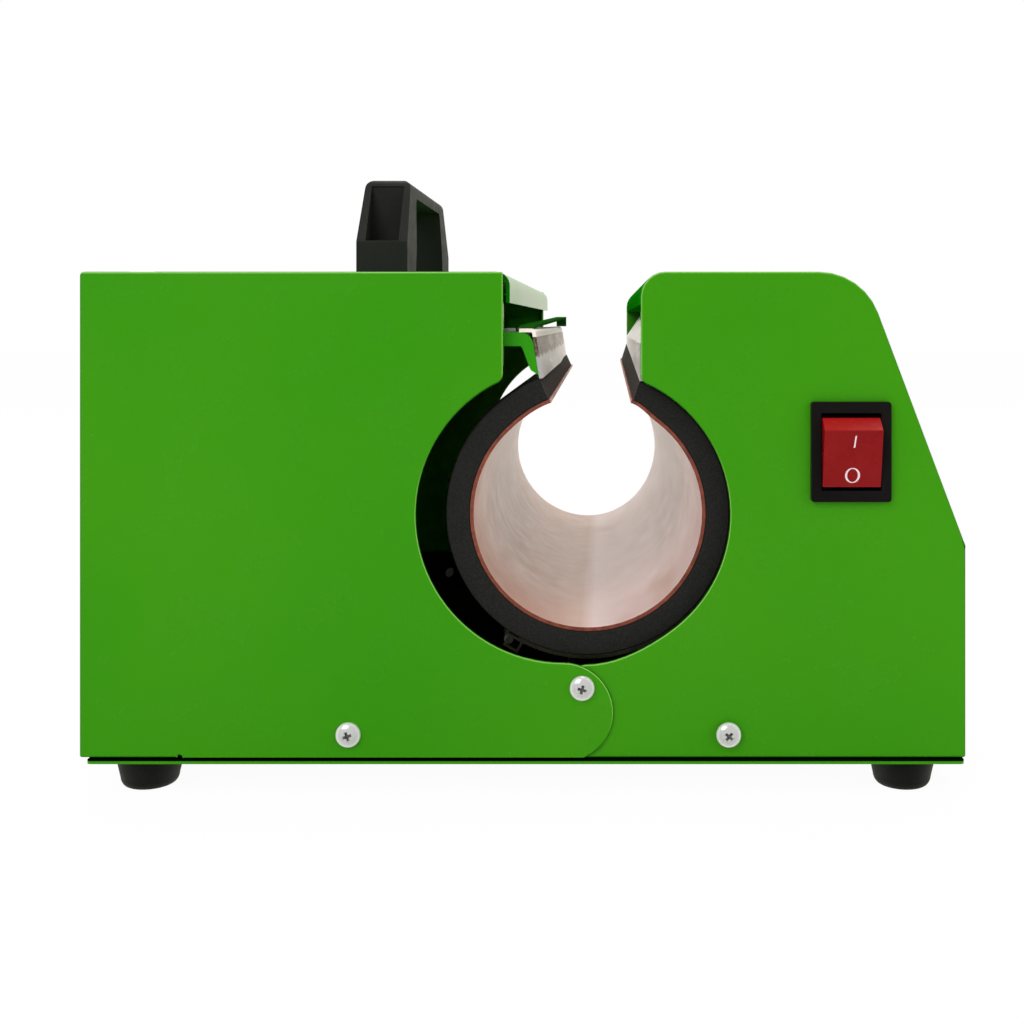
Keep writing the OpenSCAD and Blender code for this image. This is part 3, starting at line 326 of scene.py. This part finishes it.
def make_clamp(name, fold_z=None, band=0.0):
    """Clamp plate: smooth rolled steel, nearly white. Heat has left a band of brown specks under its fold. Above
    the fold, a painted highlight.
    """
    s = Surface(name, 0.3, metallic=0.5)
    tone = s.ramp(s.noise(45, 3, stretch=(1, 0.3, 1)), (0.3, rgb(222, 216, 213)), (0.7, rgb(238, 235, 233)))
    if fold_z is not None:
        specks = s.ramp(s.noise(1500, 4, 0.75), (0.42, rgb(86, 58, 44)), (0.62, rgb(176, 156, 142)))
        ragged = s.math("MULTIPLY", s.math("SUBTRACT", s.noise(120, 4), 0.5), RAGGED)
        height = s.math("ADD", s.axis("Z"), ragged)
        line_low, line_high = (fold_z - under for under in FOLD_LINE)
        above = (fold_z, fold_z + FOLD_LINE[1])
        tone = s.mix(s.spread(height, 0, 1, fold_z - band, fold_z - band + BAND_FADE), tone, specks)
        tone = s.mix(s.spread(s.axis("Z"), 0, 1, line_low, line_high), tone, rgb(112, 84, 70))
        # Painted highlight: above the fold the plate is a warm near white and not metallic
        tone = s.mix(s.spread(s.axis("Z"), 0, 1, *above), tone, rgb(255, 243, 232))
        s.link(s.spread(s.axis("Z"), 0.5, 0.0, *above), s.shader.inputs["Metallic"])
    s.colour(tone)
    s.roughen(s.noise(200, 3, stretch=(1, 0.1, 1)), 0.26, 0.38)
    s.bump(s.noise(500, 2), 0.05, 0.00003)
    return s.material


ROCKER_FOLD_Z = (0.1180, 0.1186)


def make_red():
    """The rocker's glossy, slightly clear red plastic, with a painted highlight: lighter above its fold."""
    s = Surface("rocker_red", 0.26, Specular_IOR_Level=0.25)
    face = s.ramp(s.noise(90, 2), (0.3, rgb(136, 14, 16)), (0.7, rgb(146, 18, 20)))
    # Painted highlight: a lighter red above the fold, where the top facet faces the light
    s.colour(s.mix(s.spread(s.axis("Z"), 0, 1, *ROCKER_FOLD_Z), face, rgb(172, 12, 14)))
    s.roughen(s.noise(350, 3), 0.24, 0.34)
    s.bump(s.noise(900, 2), 0.06, 0.00005)
    return s.material


def make_board():
    """Circuit board: tracks as thin cells under green lacquer."""
    s = Surface("board", 0.35)
    tracks = s.add("ShaderNodeTexBrick", offset=0.3)
    tracks.inputs["Scale"].default_value = 160
    tracks.inputs["Mortar Size"].default_value = 0.03
    tracks.inputs["Color1"].default_value = rgb(18, 74, 40)
    tracks.inputs["Color2"].default_value = rgb(14, 62, 34)
    tracks.inputs["Mortar"].default_value = rgb(60, 120, 66)
    s.link(s.place, tracks.inputs["Vector"])
    s.colour(tracks.outputs["Color"])
    s.bump(s.noise(800, 2), 0.2, 0.0001)
    return s.material


def make_lens():
    """Dark clear window over the display."""
    s = Surface("lens", 0.08, Coat_Weight=0.6, Coat_Roughness=0.03)
    s.speckled(s.noise(30, 2), (0.3, rgb(10, 12, 14)), (0.7, rgb(18, 20, 24)))
    s.roughen(s.noise(200, 2), 0.05, 0.12)
    return s.material


LEAF = rgb(54, 150, 1), rgb(63, 154, 4)
SATIN = 0.26
# Painted shade without shine: the tray's upper face in its slit, the lid's ends, and the wrapper beside the wrap
TRAY_SLIT_SHADE_Z = (0.01188, 0.01196)
LID_END_SHADE_Y = (0.13115, 0.13125)
WRAPPER_SHADE_X = (0.0530, 0.0480)
GREEN = make_paint("green_paint", *LEAF, SATIN)
REAR_GREEN = make_paint("rear_side_paint", *LEAF, SATIN, rim=0.5)
CONSOLE_GREEN = make_paint("console_side_paint", *LEAF, SATIN, rim=-0.6)
TRAY_GREEN = make_paint("tray_paint", *LEAF, SATIN, shadow=("Z", *TRAY_SLIT_SHADE_Z, rgb(12, 20, 6)))
LID_GREEN = make_paint("lid_paint", *LEAF, 0.2, shine=0.45, peel=0.0, shadow=("Y", *LID_END_SHADE_Y, rgb(6, 96, 4)))
WRAPPER_GREEN = make_paint("wrapper_paint", *LEAF, SATIN, shadow=("X", *WRAPPER_SHADE_X, rgb(14, 136, 8)))
# The bracket is painted a lighter, bluer green than the housing: painted light, for the light it catches in the
# throat
BRACKET_LIT_GREEN = make_paint("bracket_lit_paint", rgb(80, 186, 78), rgb(92, 198, 92), SATIN, shine=0.3)
# The blade is painted a dark green without shine: painted shade of the slot it lies in
BLADE_SHADED_GREEN = make_paint("blade_shaded_paint", rgb(26, 86, 18), rgb(36, 102, 28), 0.4, shine=0.0)
JAW_GREEN = make_paint("jaw_paint", rgb(42, 148, 4), rgb(52, 158, 10), SATIN, 0.15, shine=0.3)
HANDLE = make_moulded("handle_plastic", rgb(33, 32, 31), rgb(41, 40, 39), 0.58, 1700, 0.00008, 0.15)
RUBBER = make_moulded("foot_rubber", rgb(20, 20, 20), rgb(29, 29, 28), 0.62, 1200, 0.0001, 0.3)
GLOSS_BLACK = make_moulded("black_gloss", rgb(20, 18, 18), rgb(28, 24, 24), 0.34, 2400, 0.00004, 0.25)
BUTTON = make_moulded("button_plastic", rgb(186, 189, 194), rgb(198, 200, 205), 0.4, 1800, 0.00005)
WHITE_PLASTIC = make_moulded("white_plastic", rgb(212, 211, 204), rgb(224, 223, 216), 0.4, 1500, 0.00008)
CORE = make_moulded("core_steel", rgb(70, 74, 80), rgb(92, 96, 102), 0.45, 900, 0.0002)
ZINC = make_metal("zinc_steel", rgb(196, 196, 192), rgb(164, 164, 158), 0.34, (1, 1, 0.08))
# Chrome only partly metallic, the rest near-white diffuse: painted reflection of a bright room on the heads
CHROME = make_metal("chrome", rgb(250, 250, 247), rgb(238, 238, 235), 0.16, (1, 1, 1), 0.35)
DARK_STEEL = make_metal("dark_steel", rgb(135, 126, 112), rgb(84, 77, 66), 0.34, (1, 0.05, 1))
RECESS = make_metal("recess", rgb(186, 186, 183), rgb(160, 160, 157), 0.3, (1, 1, 1), 0.5)
BRONZE = make_metal("bronze", rgb(196, 150, 84), rgb(160, 112, 58), 0.4, (1, 1, 1))
FOAM = make_foam()
FOAM_CUT = make_foam_cut()
HEATER_FACE = make_liner()
HEATER_EDGE = make_copper_edge()
HEATER_LIP = make_lip()
CLAMP_STEEL = make_clamp("clamp_steel")
JAW_FOLD_Z = 0.1476
JAW_BAND = 0.0066
JAW_STEEL = make_clamp("jaw_steel", JAW_FOLD_Z, JAW_BAND)
RED = make_red()
BOARD = make_board()
LENS = make_lens()

FINISH = {
    TRAY_GREEN: ["base_tray"],
    GREEN: ["rear_end_panel"],
    REAR_GREEN: ["rear_side_near", "rear_side_far"],
    CONSOLE_GREEN: ["console_side_near", "console_side_far"],
    WRAPPER_GREEN: ["console_wrapper", "console_inner_wall"],
    LID_GREEN: ["lever_cover"],
    JAW_GREEN: ["jaw_arms", "jaw_cross_plate"],
    BRACKET_LIT_GREEN: ["fixed_clamp_bracket"],
    BLADE_SHADED_GREEN: ["jaw_blade"],
    HANDLE: ["lever_handle", "controller_bezel", "power_inlet", "fuse_drawer", "power_relay"],
    RUBBER: ["rubber_feet"],
    GLOSS_BLACK: ["switch_bezel"],
    BUTTON: ["button_mode", "button_down", "button_up", "button_start"],
    WHITE_PLASTIC: ["terminal_block"],
    CORE: ["transformer"],
    CLAMP_STEEL: ["fixed_clamp_plate"],
    JAW_STEEL: ["jaw_clamp_plate"],
    DARK_STEEL: ["wrap_cradle", "wrap_band_moving"],
    ZINC: ["frame_plates", "lever_cams", "cradle_brackets", "cradle_spacers", "board_standoffs",
           "jaw_cam_pins", "lever_shaft", "shaft_collars", "wrap_hinge_pin"],
    CHROME: ["foot_screws", "housing_screws", "handle_screws", "jaw_screws"],
    BRONZE: ["shaft_bushes"],
    RED: ["switch_rocker"],
    BOARD: ["control_board"],
    LENS: ["display_lens"],
}
for material, names in FINISH.items():
    for name in names:
        data = nodes[name].data
        data.materials.clear()
        data.materials.append(material)


# Reshaped copies of CAD nodes, each shown in its node's place
def reshaped(node, name, move):
    """Copies a node's mesh as a piece of its own on the housing, each point moved by a function."""
    mesh = nodes[node].data.copy()
    mesh.name = name
    for vertex in mesh.vertices:
        vertex.co = move(vertex.co.copy())
    piece = linked(name, mesh)
    piece.matrix_world = nodes[node].matrix_world.copy()
    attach(piece, "housing")
    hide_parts(node)
    return piece


# The console's side plates: their lower edge runs level to a small round corner. CORNER_X holds the points that the
# CAD has at that corner, in mm
SIDE_LOW = 0.0128
SIDE_END = 0.142
SIDE_CORNER = 0.0008
CORNER_X = (140.589, 140.843, 141.155, 141.475, 141.75, 141.935, 142.0)
CORNER_TOP = 0.0155
THROAT_FOOT = (0.040, 0.062)
THROAT_DROP = 0.0021
THROAT_START = 0.012
THROAT_FADE = (0.020, 0.048)


def console_point(p):
    """Levels the lower edge, and lowers the foot of the throat until it runs into the rear plate's."""
    if p.z > CORNER_TOP:
        start, end = THROAT_FADE
        if THROAT_FOOT[0] < p.z < THROAT_FOOT[1] and THROAT_START < p.x < end:
            t = min(1, (end - p.x) / (end - start))
            p.z -= THROAT_DROP * t * t * (3 - 2 * t)
        return p
    if p.x < CORNER_X[0] * MM - MM:
        p.z = SIDE_LOW
        return p
    k = min(range(len(CORNER_X)), key=lambda i: abs(CORNER_X[i] * MM - p.x))
    turn = math.radians(90 * k / (len(CORNER_X) - 1) - 90)
    p.x = SIDE_END - SIDE_CORNER + SIDE_CORNER * math.cos(turn)
    p.z = SIDE_LOW + SIDE_CORNER + SIDE_CORNER * math.sin(turn)
    return p


# The rubber feet: wider along the press than the CAD's round ones, most so at the top. The screw's bore stays
FOOT_X = 0.1255
FOOT_Y = 0.118
FOOT_H = 0.011
FOOT_BORE = 0.0065
FOOT_STRETCH = (1.05, 1.14)
FOOT_INWARD = 0.00085


def oval_foot(p):
    side = math.copysign(1, p.x)
    across = p.x - side * FOOT_X
    depth = min(abs(p.y - y) for y in (-FOOT_Y, FOOT_Y))
    if math.hypot(across, depth) > FOOT_BORE:
        low, high = FOOT_STRETCH
        p.x = side * (FOOT_X - FOOT_INWARD) + across * (low + (high - low) * p.z / FOOT_H)
    return p


SIDE_PLATES = [reshaped("console_side_" + end, "console_plate_" + end, console_point)
               for end in ("near", "far")]
reshaped("rubber_feet", "oval_feet", oval_foot)


# Edges: sheet and moulded parts get a small round edge, which catches the light
WELD_WITHIN = 0.000002
FLAT_WITHIN = math.radians(0.5)
SHARP_OVER = math.radians(50)


def ease(piece, width, segments=2, clamp=True):
    """Rounds a piece's sharp edges with modifiers, after the triangles of each flat face are joined."""
    joined = piece.modifiers.new("joined", "WELD")
    joined.merge_threshold = WELD_WITHIN
    whole = piece.modifiers.new("whole", "DECIMATE")
    whole.decimate_type = "DISSOLVE"
    whole.angle_limit = FLAT_WITHIN
    modifier = piece.modifiers.new("eased", "BEVEL")
    modifier.width = width
    modifier.segments = segments
    modifier.limit_method = "ANGLE"
    modifier.angle_limit = SHARP_OVER
    modifier.use_clamp_overlap = clamp
    modifier.harden_normals = True
    shading = piece.modifiers.new("shading", "WEIGHTED_NORMAL")
    shading.keep_sharp = True


for piece in [nodes["rear_side_near"], nodes["rear_side_far"]] + SIDE_PLATES:
    ease(piece, 0.55 * MM, 3, False)
ease(nodes["base_tray"], 0.28 * MM)
for name in ("lever_handle", "switch_bezel", "switch_rocker", "controller_bezel"):
    ease(nodes[name], 0.35 * MM)


# Meshes
def solid(name, vertices, faces, materials, picks=None, smooth=40):
    """A mesh object from points in the row frame, with outward faces and smooth shading below an angle."""
    mesh = bpy.data.meshes.new(name)
    mesh.from_pydata([tuple(v) for v in vertices], [], faces)
    for material in materials:
        mesh.materials.append(material)
    if picks:
        for polygon, pick in zip(mesh.polygons, picks):
            polygon.material_index = pick
    made = bmesh.new()
    made.from_mesh(mesh)
    bmesh.ops.recalc_face_normals(made, faces=made.faces)
    made.to_mesh(mesh)
    made.free()
    mesh.shade_smooth()
    mesh.set_sharp_from_angle(angle=math.radians(smooth))
    return linked(name, mesh)


# The wrap: one bent piece across the split of the CAD stand-in. Its lips and the split are angles in degrees
WRAP_C = Vector((0.0206, 0, 0.0905))
WRAP_R = 0.037
HEATER_T = 0.0013
FOAM_T = 0.0077
WRAP_Y = (-0.127, 0.123)
WRAP_OUT = WRAP_R + HEATER_T + FOAM_T
LIPS = (110.0, 428.5)
FOAM_EDGE_R = 0.0006
HEATER_EDGE_R = 0.0001
HEATER_CLEAR = 0.00002
HEATER_PAST = 0.8
FACE_WITHIN = 0.00008
LENGTH_STEPS = 6
DEGREES_A_STEP = 1.5

# How far the bore leans at its far end, and how far each lip is drawn up by its clamp: (x, z) at the near
# inner, near outer, far inner and far outer corner
BORE_LEAN = Vector((-0.0030, -0.0021))
BORE_SQUEEZE = 0.0024
LIP_DRAWN = (((0.0002, 0.0009), (0.0, 0.0005), (0.0009, 0.0044), (0.0012, 0.0020)),
             ((0.0009, 0.0012), (0.0, 0.0), (0.0004, 0.0076), (-0.0001, 0.0080)))
LIP_REACH = (24, 16)


def on_wrap(radius, angle, y):
    """A point of the wrap. Its bore leans, and its lips rise towards the far end."""
    a = math.radians(angle)
    far = (y - WRAP_Y[0]) / (WRAP_Y[1] - WRAP_Y[0])
    inner = (WRAP_OUT - radius) / (WRAP_OUT - WRAP_R)
    nearness = (1 - (angle - LIPS[0]) / LIP_REACH[0], 1 - (LIPS[1] - angle) / LIP_REACH[1])
    side = 0 if nearness[0] > nearness[1] else 1
    t = min(1, max(0, nearness[side]))
    near_in, near_out, far_in, far_out = (Vector(v) for v in LIP_DRAWN[side])
    drawn = near_out.lerp(near_in, inner).lerp(far_out.lerp(far_in, inner), far)
    lean = (BORE_LEAN - Vector((BORE_SQUEEZE * max(0, math.cos(a)), 0))) * far * inner
    moved = lean.lerp(drawn, t * t * (3 - 2 * t))
    return WRAP_C + Vector((radius * math.cos(a) + moved.x, y, radius * math.sin(a) + moved.y))


def corner(r, y, radius, start, steps=4):
    return [(r + radius * math.cos(math.radians(start + 90 * k / steps)),
             y + radius * math.sin(math.radians(start + 90 * k / steps))) for k in range(steps + 1)]


def swept(name, r_in, r_out, ends, edge, materials, pick):
    """A C-shaped sheet about the wrap's axis, with rounded edges.

    pick gives a face's material from its mean radius. The two end faces have the last material.
    """
    low, high = WRAP_Y
    profile = (corner(r_out - edge, high - edge, edge, 0) + corner(r_in + edge, high - edge, edge, 90)
               + [(r_in, high + (low - high) * k / LENGTH_STEPS) for k in range(1, LENGTH_STEPS)]
               + corner(r_in + edge, low + edge, edge, 180) + corner(r_out - edge, low + edge, edge, 270)
               + [(r_out, low + (high - low) * k / LENGTH_STEPS) for k in range(1, LENGTH_STEPS)])
    count = round((ends[1] - ends[0]) / DEGREES_A_STEP)
    angles = [ends[0] + (ends[1] - ends[0]) * i / count for i in range(count + 1)]
    size = len(profile)
    points = [on_wrap(r, a, y) for a in angles for r, y in profile]
    faces, picks = [], []
    for i in range(count):
        for j in range(size):
            k = (j + 1) % size
            faces.append((i * size + j, i * size + k, (i + 1) * size + k, (i + 1) * size + j))
            picks.append(pick((profile[j][0] + profile[k][0]) / 2))
    faces += [tuple(range(size)), tuple(range(count * size, (count + 1) * size))]
    picks += [len(materials) - 1] * 2
    return solid(name, points, faces, materials, picks)


foam = swept("wrap_foam", WRAP_R + HEATER_T, WRAP_OUT, LIPS, FOAM_EDGE_R, [FOAM, FOAM_CUT], lambda r: 0)
heater = swept("wrap_heater", WRAP_R, WRAP_R + HEATER_T - HEATER_CLEAR,
               (LIPS[0] - HEATER_PAST, LIPS[1] + HEATER_PAST), HEATER_EDGE_R,
               [HEATER_FACE, HEATER_EDGE, HEATER_LIP], lambda r: 0 if r < WRAP_R + FACE_WITHIN else 1)

for piece, replaced, name in ((foam, ("wrap_foam_fixed", "wrap_foam_moving"), "foam"),
                              (heater, ("wrap_heater_fixed", "wrap_heater_moving"), "heater")):
    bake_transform(piece)
    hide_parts(*replaced)


# Housing screws: chrome pan heads with a cross recess, each turned by its own angle
SCREW_SPOTS = ((-0.055948, 0.0206, 20), (0.065746, 0.0206, 50), (0.0189, 0.0355, -15))
PLATE_Y = 0.133
HEAD_R = 0.004
HEAD_H = 0.0024
SHANK_R = 0.002
SHANK_L = 0.008
RIM_H = 0.0006
RIM_EDGE = 0.0001
TURN_POINTS = 48
CROWN_POINTS = 9
# The recess's blades: half length, half width and depth at the head's top, the share of both left at the floor, and
# how far they are drawn past the head's top
BLADE = (0.0019, 0.0005, 0.0017)
BLADE_FLOOR = (0.35, 0.8)
BLADE_PAST = 1.3


def lathe(made, outline, place):
    """Adds a solid of revolution about Z from (radius, height) points, which start and end on the axis."""
    turns = [2 * math.pi * k / TURN_POINTS for k in range(TURN_POINTS)]
    rings = [[made.verts.new(place @ Vector((r * math.cos(turn), r * math.sin(turn), h))) for turn in turns]
             for r, h in outline[1:-1]]
    bottom = made.verts.new(place @ Vector((0, 0, outline[0][1])))
    top = made.verts.new(place @ Vector((0, 0, outline[-1][1])))
    for k in range(TURN_POINTS):
        m = (k + 1) % TURN_POINTS
        made.faces.new((bottom, rings[0][m], rings[0][k]))
        made.faces.new((top, rings[-1][k], rings[-1][m]))
        for low, high in zip(rings, rings[1:]):
            made.faces.new((low[k], low[m], high[m], high[k]))


def wedge(made, turn_z, place):
    """Adds a blade of the cross recess: wide at the head's face, narrow at its floor."""
    half_l, half_w, deep = BLADE
    spin = place @ Matrix.Rotation(turn_z, 4, "Z")
    top, floor = HEAD_H * BLADE_PAST, HEAD_H - deep
    corners = (-1, -1), (1, -1), (1, 1), (-1, 1)
    low = [made.verts.new(spin @ Vector((x * half_l * BLADE_FLOOR[0], y * half_w * BLADE_FLOOR[1], floor)))
           for x, y in corners]
    high = [made.verts.new(spin @ Vector((x * half_l, y * half_w, top))) for x, y in corners]
    made.faces.new(low[::-1])
    made.faces.new(high)
    for k in range(4):
        m = (k + 1) % 4
        made.faces.new((low[k], low[m], high[m], high[k]))


def object_from(made, name, material):
    bmesh.ops.recalc_face_normals(made, faces=made.faces)
    mesh = bpy.data.meshes.new(name)
    made.to_mesh(mesh)
    made.free()
    mesh.materials.append(material)
    return linked(name, mesh)


def cut_away(piece, cutter):
    """Cuts one object from another, and removes the cutter."""
    modifier = piece.modifiers.new("cut", "BOOLEAN")
    modifier.operation = "DIFFERENCE"
    modifier.solver = "EXACT"
    modifier.material_mode = "TRANSFER"
    modifier.object = cutter
    graph = bpy.context.evaluated_depsgraph_get()
    mesh = bpy.data.meshes.new_from_object(piece.evaluated_get(graph))
    piece.modifiers.clear()
    piece.data = mesh
    bpy.data.objects.remove(cutter)


screws = bmesh.new()
crosses = {turn: bmesh.new() for turn in (0, 90)}
for x, z, turn in SCREW_SPOTS:
    for side in (-1, 1):
        outward = Matrix.Rotation(-side * math.pi / 2, 4, "X")
        turned = Matrix.Rotation(math.radians(turn), 4, "Z")
        place = Matrix.Translation((x, side * PLATE_Y, z)) @ outward @ turned
        rise = [(0, -SHANK_L), (SHANK_R, -SHANK_L), (SHANK_R, 0), (HEAD_R - RIM_EDGE, 0), (HEAD_R, RIM_EDGE)]
        crown = [(HEAD_R * math.cos(a), RIM_H + (HEAD_H - RIM_H) * math.sin(a))
                 for a in (math.pi / 2 * k / CROWN_POINTS for k in range(CROWN_POINTS))]
        lathe(screws, rise + crown + [(0, HEAD_H)], place)
        for angle, cross in crosses.items():
            wedge(cross, math.radians(angle), place)
screw_set = object_from(screws, "housing_screw_set", CHROME)
for cross in crosses.values():
    cut_away(screw_set, object_from(cross, "cross", RECESS))
screw_set.data.shade_smooth()
screw_set.data.set_sharp_from_angle(angle=math.radians(35))
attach(screw_set, "housing")
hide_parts("housing_screws")


# Marks on the rocker: a bar and a ring, on the face from its lower edge to its fold
FACE_LOW = Vector((0.1049, -0.1344, 0.0999))
FACE_HIGH = Vector((0.1049, -0.13843, 0.11832))
face_up = (FACE_HIGH - FACE_LOW).normalized()
face_out = Vector((1, 0, 0)).cross(face_up).normalized()
MARK_T = 0.00006
MARK = Surface("rocker_mark", 0.35)
MARK.colour(MARK.ramp(MARK.noise(600, 2), (0.3, rgb(236, 208, 214)), (0.7, rgb(250, 232, 238))))
MARK.bump(MARK.noise(2000, 2), 0.1, 0.00003)


def on_face(x, z, lift):
    """The point at x and at height z on the rocker's face, or lift above the face."""
    up = face_up * ((z - FACE_LOW.z) / face_up.z)
    return FACE_LOW + up + Vector((x - FACE_LOW.x, 0, 0)) + face_out * lift


def raised(name, outer, inner=None):
    """A thin raised mark on the rocker from one outline, or from two with a hole, as points (x, z)."""
    if face_out.y > 0:
        raise ValueError("the rocker's face looks outward, along -Y")
    loops = [outer] + ([inner] if inner else [])
    n = len(outer)
    points = [on_face(x, z, lift) for loop in loops for lift in (-MARK_T, MARK_T) for x, z in loop]
    faces = []
    for k in range(n):
        m = (k + 1) % n
        for base in range(0, 2 * n * len(loops), 2 * n):
            faces.append((base + k, base + m, base + n + m, base + n + k))
        if inner:
            faces.append((n + k, n + m, 3 * n + m, 3 * n + k))
            faces.append((k, m, 2 * n + m, 2 * n + k))
    if not inner:
        faces += [tuple(range(n)), tuple(range(n, 2 * n))]
    piece = solid(name, points, faces, [MARK.material])
    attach(piece, "rocker")
    return piece


def ellipse(x, z, w, h, n=48):
    turns = [2 * math.pi * k / n for k in range(n)]
    return [(x + w / 2 * math.cos(turn), z + h / 2 * math.sin(turn)) for turn in turns]


BAR = [(0.10494, 0.1128), (0.10542, 0.1128), (0.10582, 0.11665), (0.10539, 0.11665)]
RING_AT = (0.10495, 0.1038)
RING_OUTER = (0.0048, 0.0049)
RING_INNER = (0.0034, 0.0043)
raised("mark_on", BAR)
raised("mark_off", ellipse(*RING_AT, *RING_OUTER), ellipse(*RING_AT, *RING_INNER))


# Floor, light and world
FLOOR_HALF = 6
FLOOR_GLOW = 1.02
FLOOR_SHOWN = 0.94


def stage_material(name, colour, shown):
    """Diffuse for light and shadow. The camera sees it mostly as a plain white ground."""
    material = bpy.data.materials.new(name)
    material.use_nodes = True
    tree = material.node_tree
    tree.nodes.clear()
    diffuse = tree.nodes.new("ShaderNodeBsdfDiffuse")
    diffuse.inputs["Color"].default_value = colour
    glow = tree.nodes.new("ShaderNodeEmission")
    glow.inputs["Strength"].default_value = FLOOR_GLOW
    path = tree.nodes.new("ShaderNodeLightPath")
    seen = tree.nodes.new("ShaderNodeMath")
    seen.operation = "MULTIPLY"
    seen.inputs[1].default_value = shown
    mixed = tree.nodes.new("ShaderNodeMixShader")
    out = tree.nodes.new("ShaderNodeOutputMaterial")
    tree.links.new(path.outputs["Is Camera Ray"], seen.inputs[0])
    tree.links.new(seen.outputs[0], mixed.inputs[0])
    tree.links.new(diffuse.outputs[0], mixed.inputs[1])
    tree.links.new(glow.outputs[0], mixed.inputs[2])
    tree.links.new(mixed.outputs[0], out.inputs[0])
    return material


floor_mesh = bpy.data.meshes.new("floor")
floor_mesh.from_pydata([(x * FLOOR_HALF, y * FLOOR_HALF, 0) for x, y in ((-1, -1), (1, -1), (1, 1), (-1, 1))],
                       [], [(0, 1, 2, 3)])
floor_mesh.materials.append(stage_material("floor", rgb(238, 238, 238), FLOOR_SHOWN))
floor = linked("floor", floor_mesh)
floor.visible_glossy = False

world = bpy.data.worlds.new("studio")
bpy.context.scene.world = world
world.use_nodes = True
sky = world.node_tree
sky.nodes.clear()


def sky_node(kind, **settings):
    node = sky.nodes.new(kind)
    for key, value in settings.items():
        setattr(node, key, value)
    return node


def backdrop(strength, colour=(1, 1, 1, 1)):
    node = sky_node("ShaderNodeBackground")
    node.inputs["Color"].default_value = colour
    node.inputs["Strength"].default_value = strength
    return node


# The camera sees white. Diffuse light comes evenly. Reflections see a dim room in front, a bright one behind
EVEN_LIGHT = 0.62
WARM = (1, 0.97, 0.88, 1)
ROOM = {"From Min": -0.6, "From Max": 0.0, "To Min": 0.04, "To Max": 1.0}
seen, even, mirrored = backdrop(1.0), backdrop(EVEN_LIGHT), backdrop(1.0, WARM)
heading = sky_node("ShaderNodeTexCoord")
parts = sky_node("ShaderNodeSeparateXYZ")
room = sky_node("ShaderNodeMapRange")
for key, number in ROOM.items():
    room.inputs[key].default_value = number
path = sky_node("ShaderNodeLightPath")
shiny = sky_node("ShaderNodeMath", operation="MAXIMUM")
by_gloss = sky_node("ShaderNodeMixShader")
by_camera = sky_node("ShaderNodeMixShader")
sky_out = sky_node("ShaderNodeOutputWorld")
for output, target in (
        (heading.outputs["Generated"], parts.inputs["Vector"]), (parts.outputs["Y"], room.inputs["Value"]),
        (room.outputs["Result"], mirrored.inputs["Strength"]),
        (path.outputs["Is Glossy Ray"], shiny.inputs[0]),
        (path.outputs["Is Transmission Ray"], shiny.inputs[1]),
        (shiny.outputs[0], by_gloss.inputs[0]), (even.outputs[0], by_gloss.inputs[1]),
        (mirrored.outputs[0], by_gloss.inputs[2]),
        (path.outputs["Is Camera Ray"], by_camera.inputs[0]), (by_gloss.outputs[0], by_camera.inputs[1]),
        (seen.outputs[0], by_camera.inputs[2]), (by_camera.outputs[0], sky_out.inputs["Surface"])):
    sky.links.new(output, target)


LAMPS_LOOK_AT = Vector((0, 0, 0.09))
# name, place, size, power, and whether reflections show the lamp
LAMPS = (("key", (-0.7, -1.3, 1.0), 0.9, 9, True),
         ("fill", (1.3, -0.9, 0.6), 0.9, 4, False),
         ("top", (0.0, 0.5, 1.5), 1.0, 8, True))


def soft_box(name, at, size, power, mirrored_too):
    """A square lamp that looks at the middle of the object."""
    lamp = bpy.data.lights.new(name, "AREA")
    lamp.shape = "SQUARE"
    lamp.size = size
    lamp.energy = power
    holder = linked(name, lamp)
    holder.location = at
    holder.rotation_mode = "QUATERNION"
    holder.rotation_quaternion = (LAMPS_LOOK_AT - Vector(at)).to_track_quat("-Z", "Y")
    holder.visible_glossy = mirrored_too


for lamp in LAMPS:
    soft_box(*lamp)

bpy.context.scene.view_settings.view_transform = "Standard"
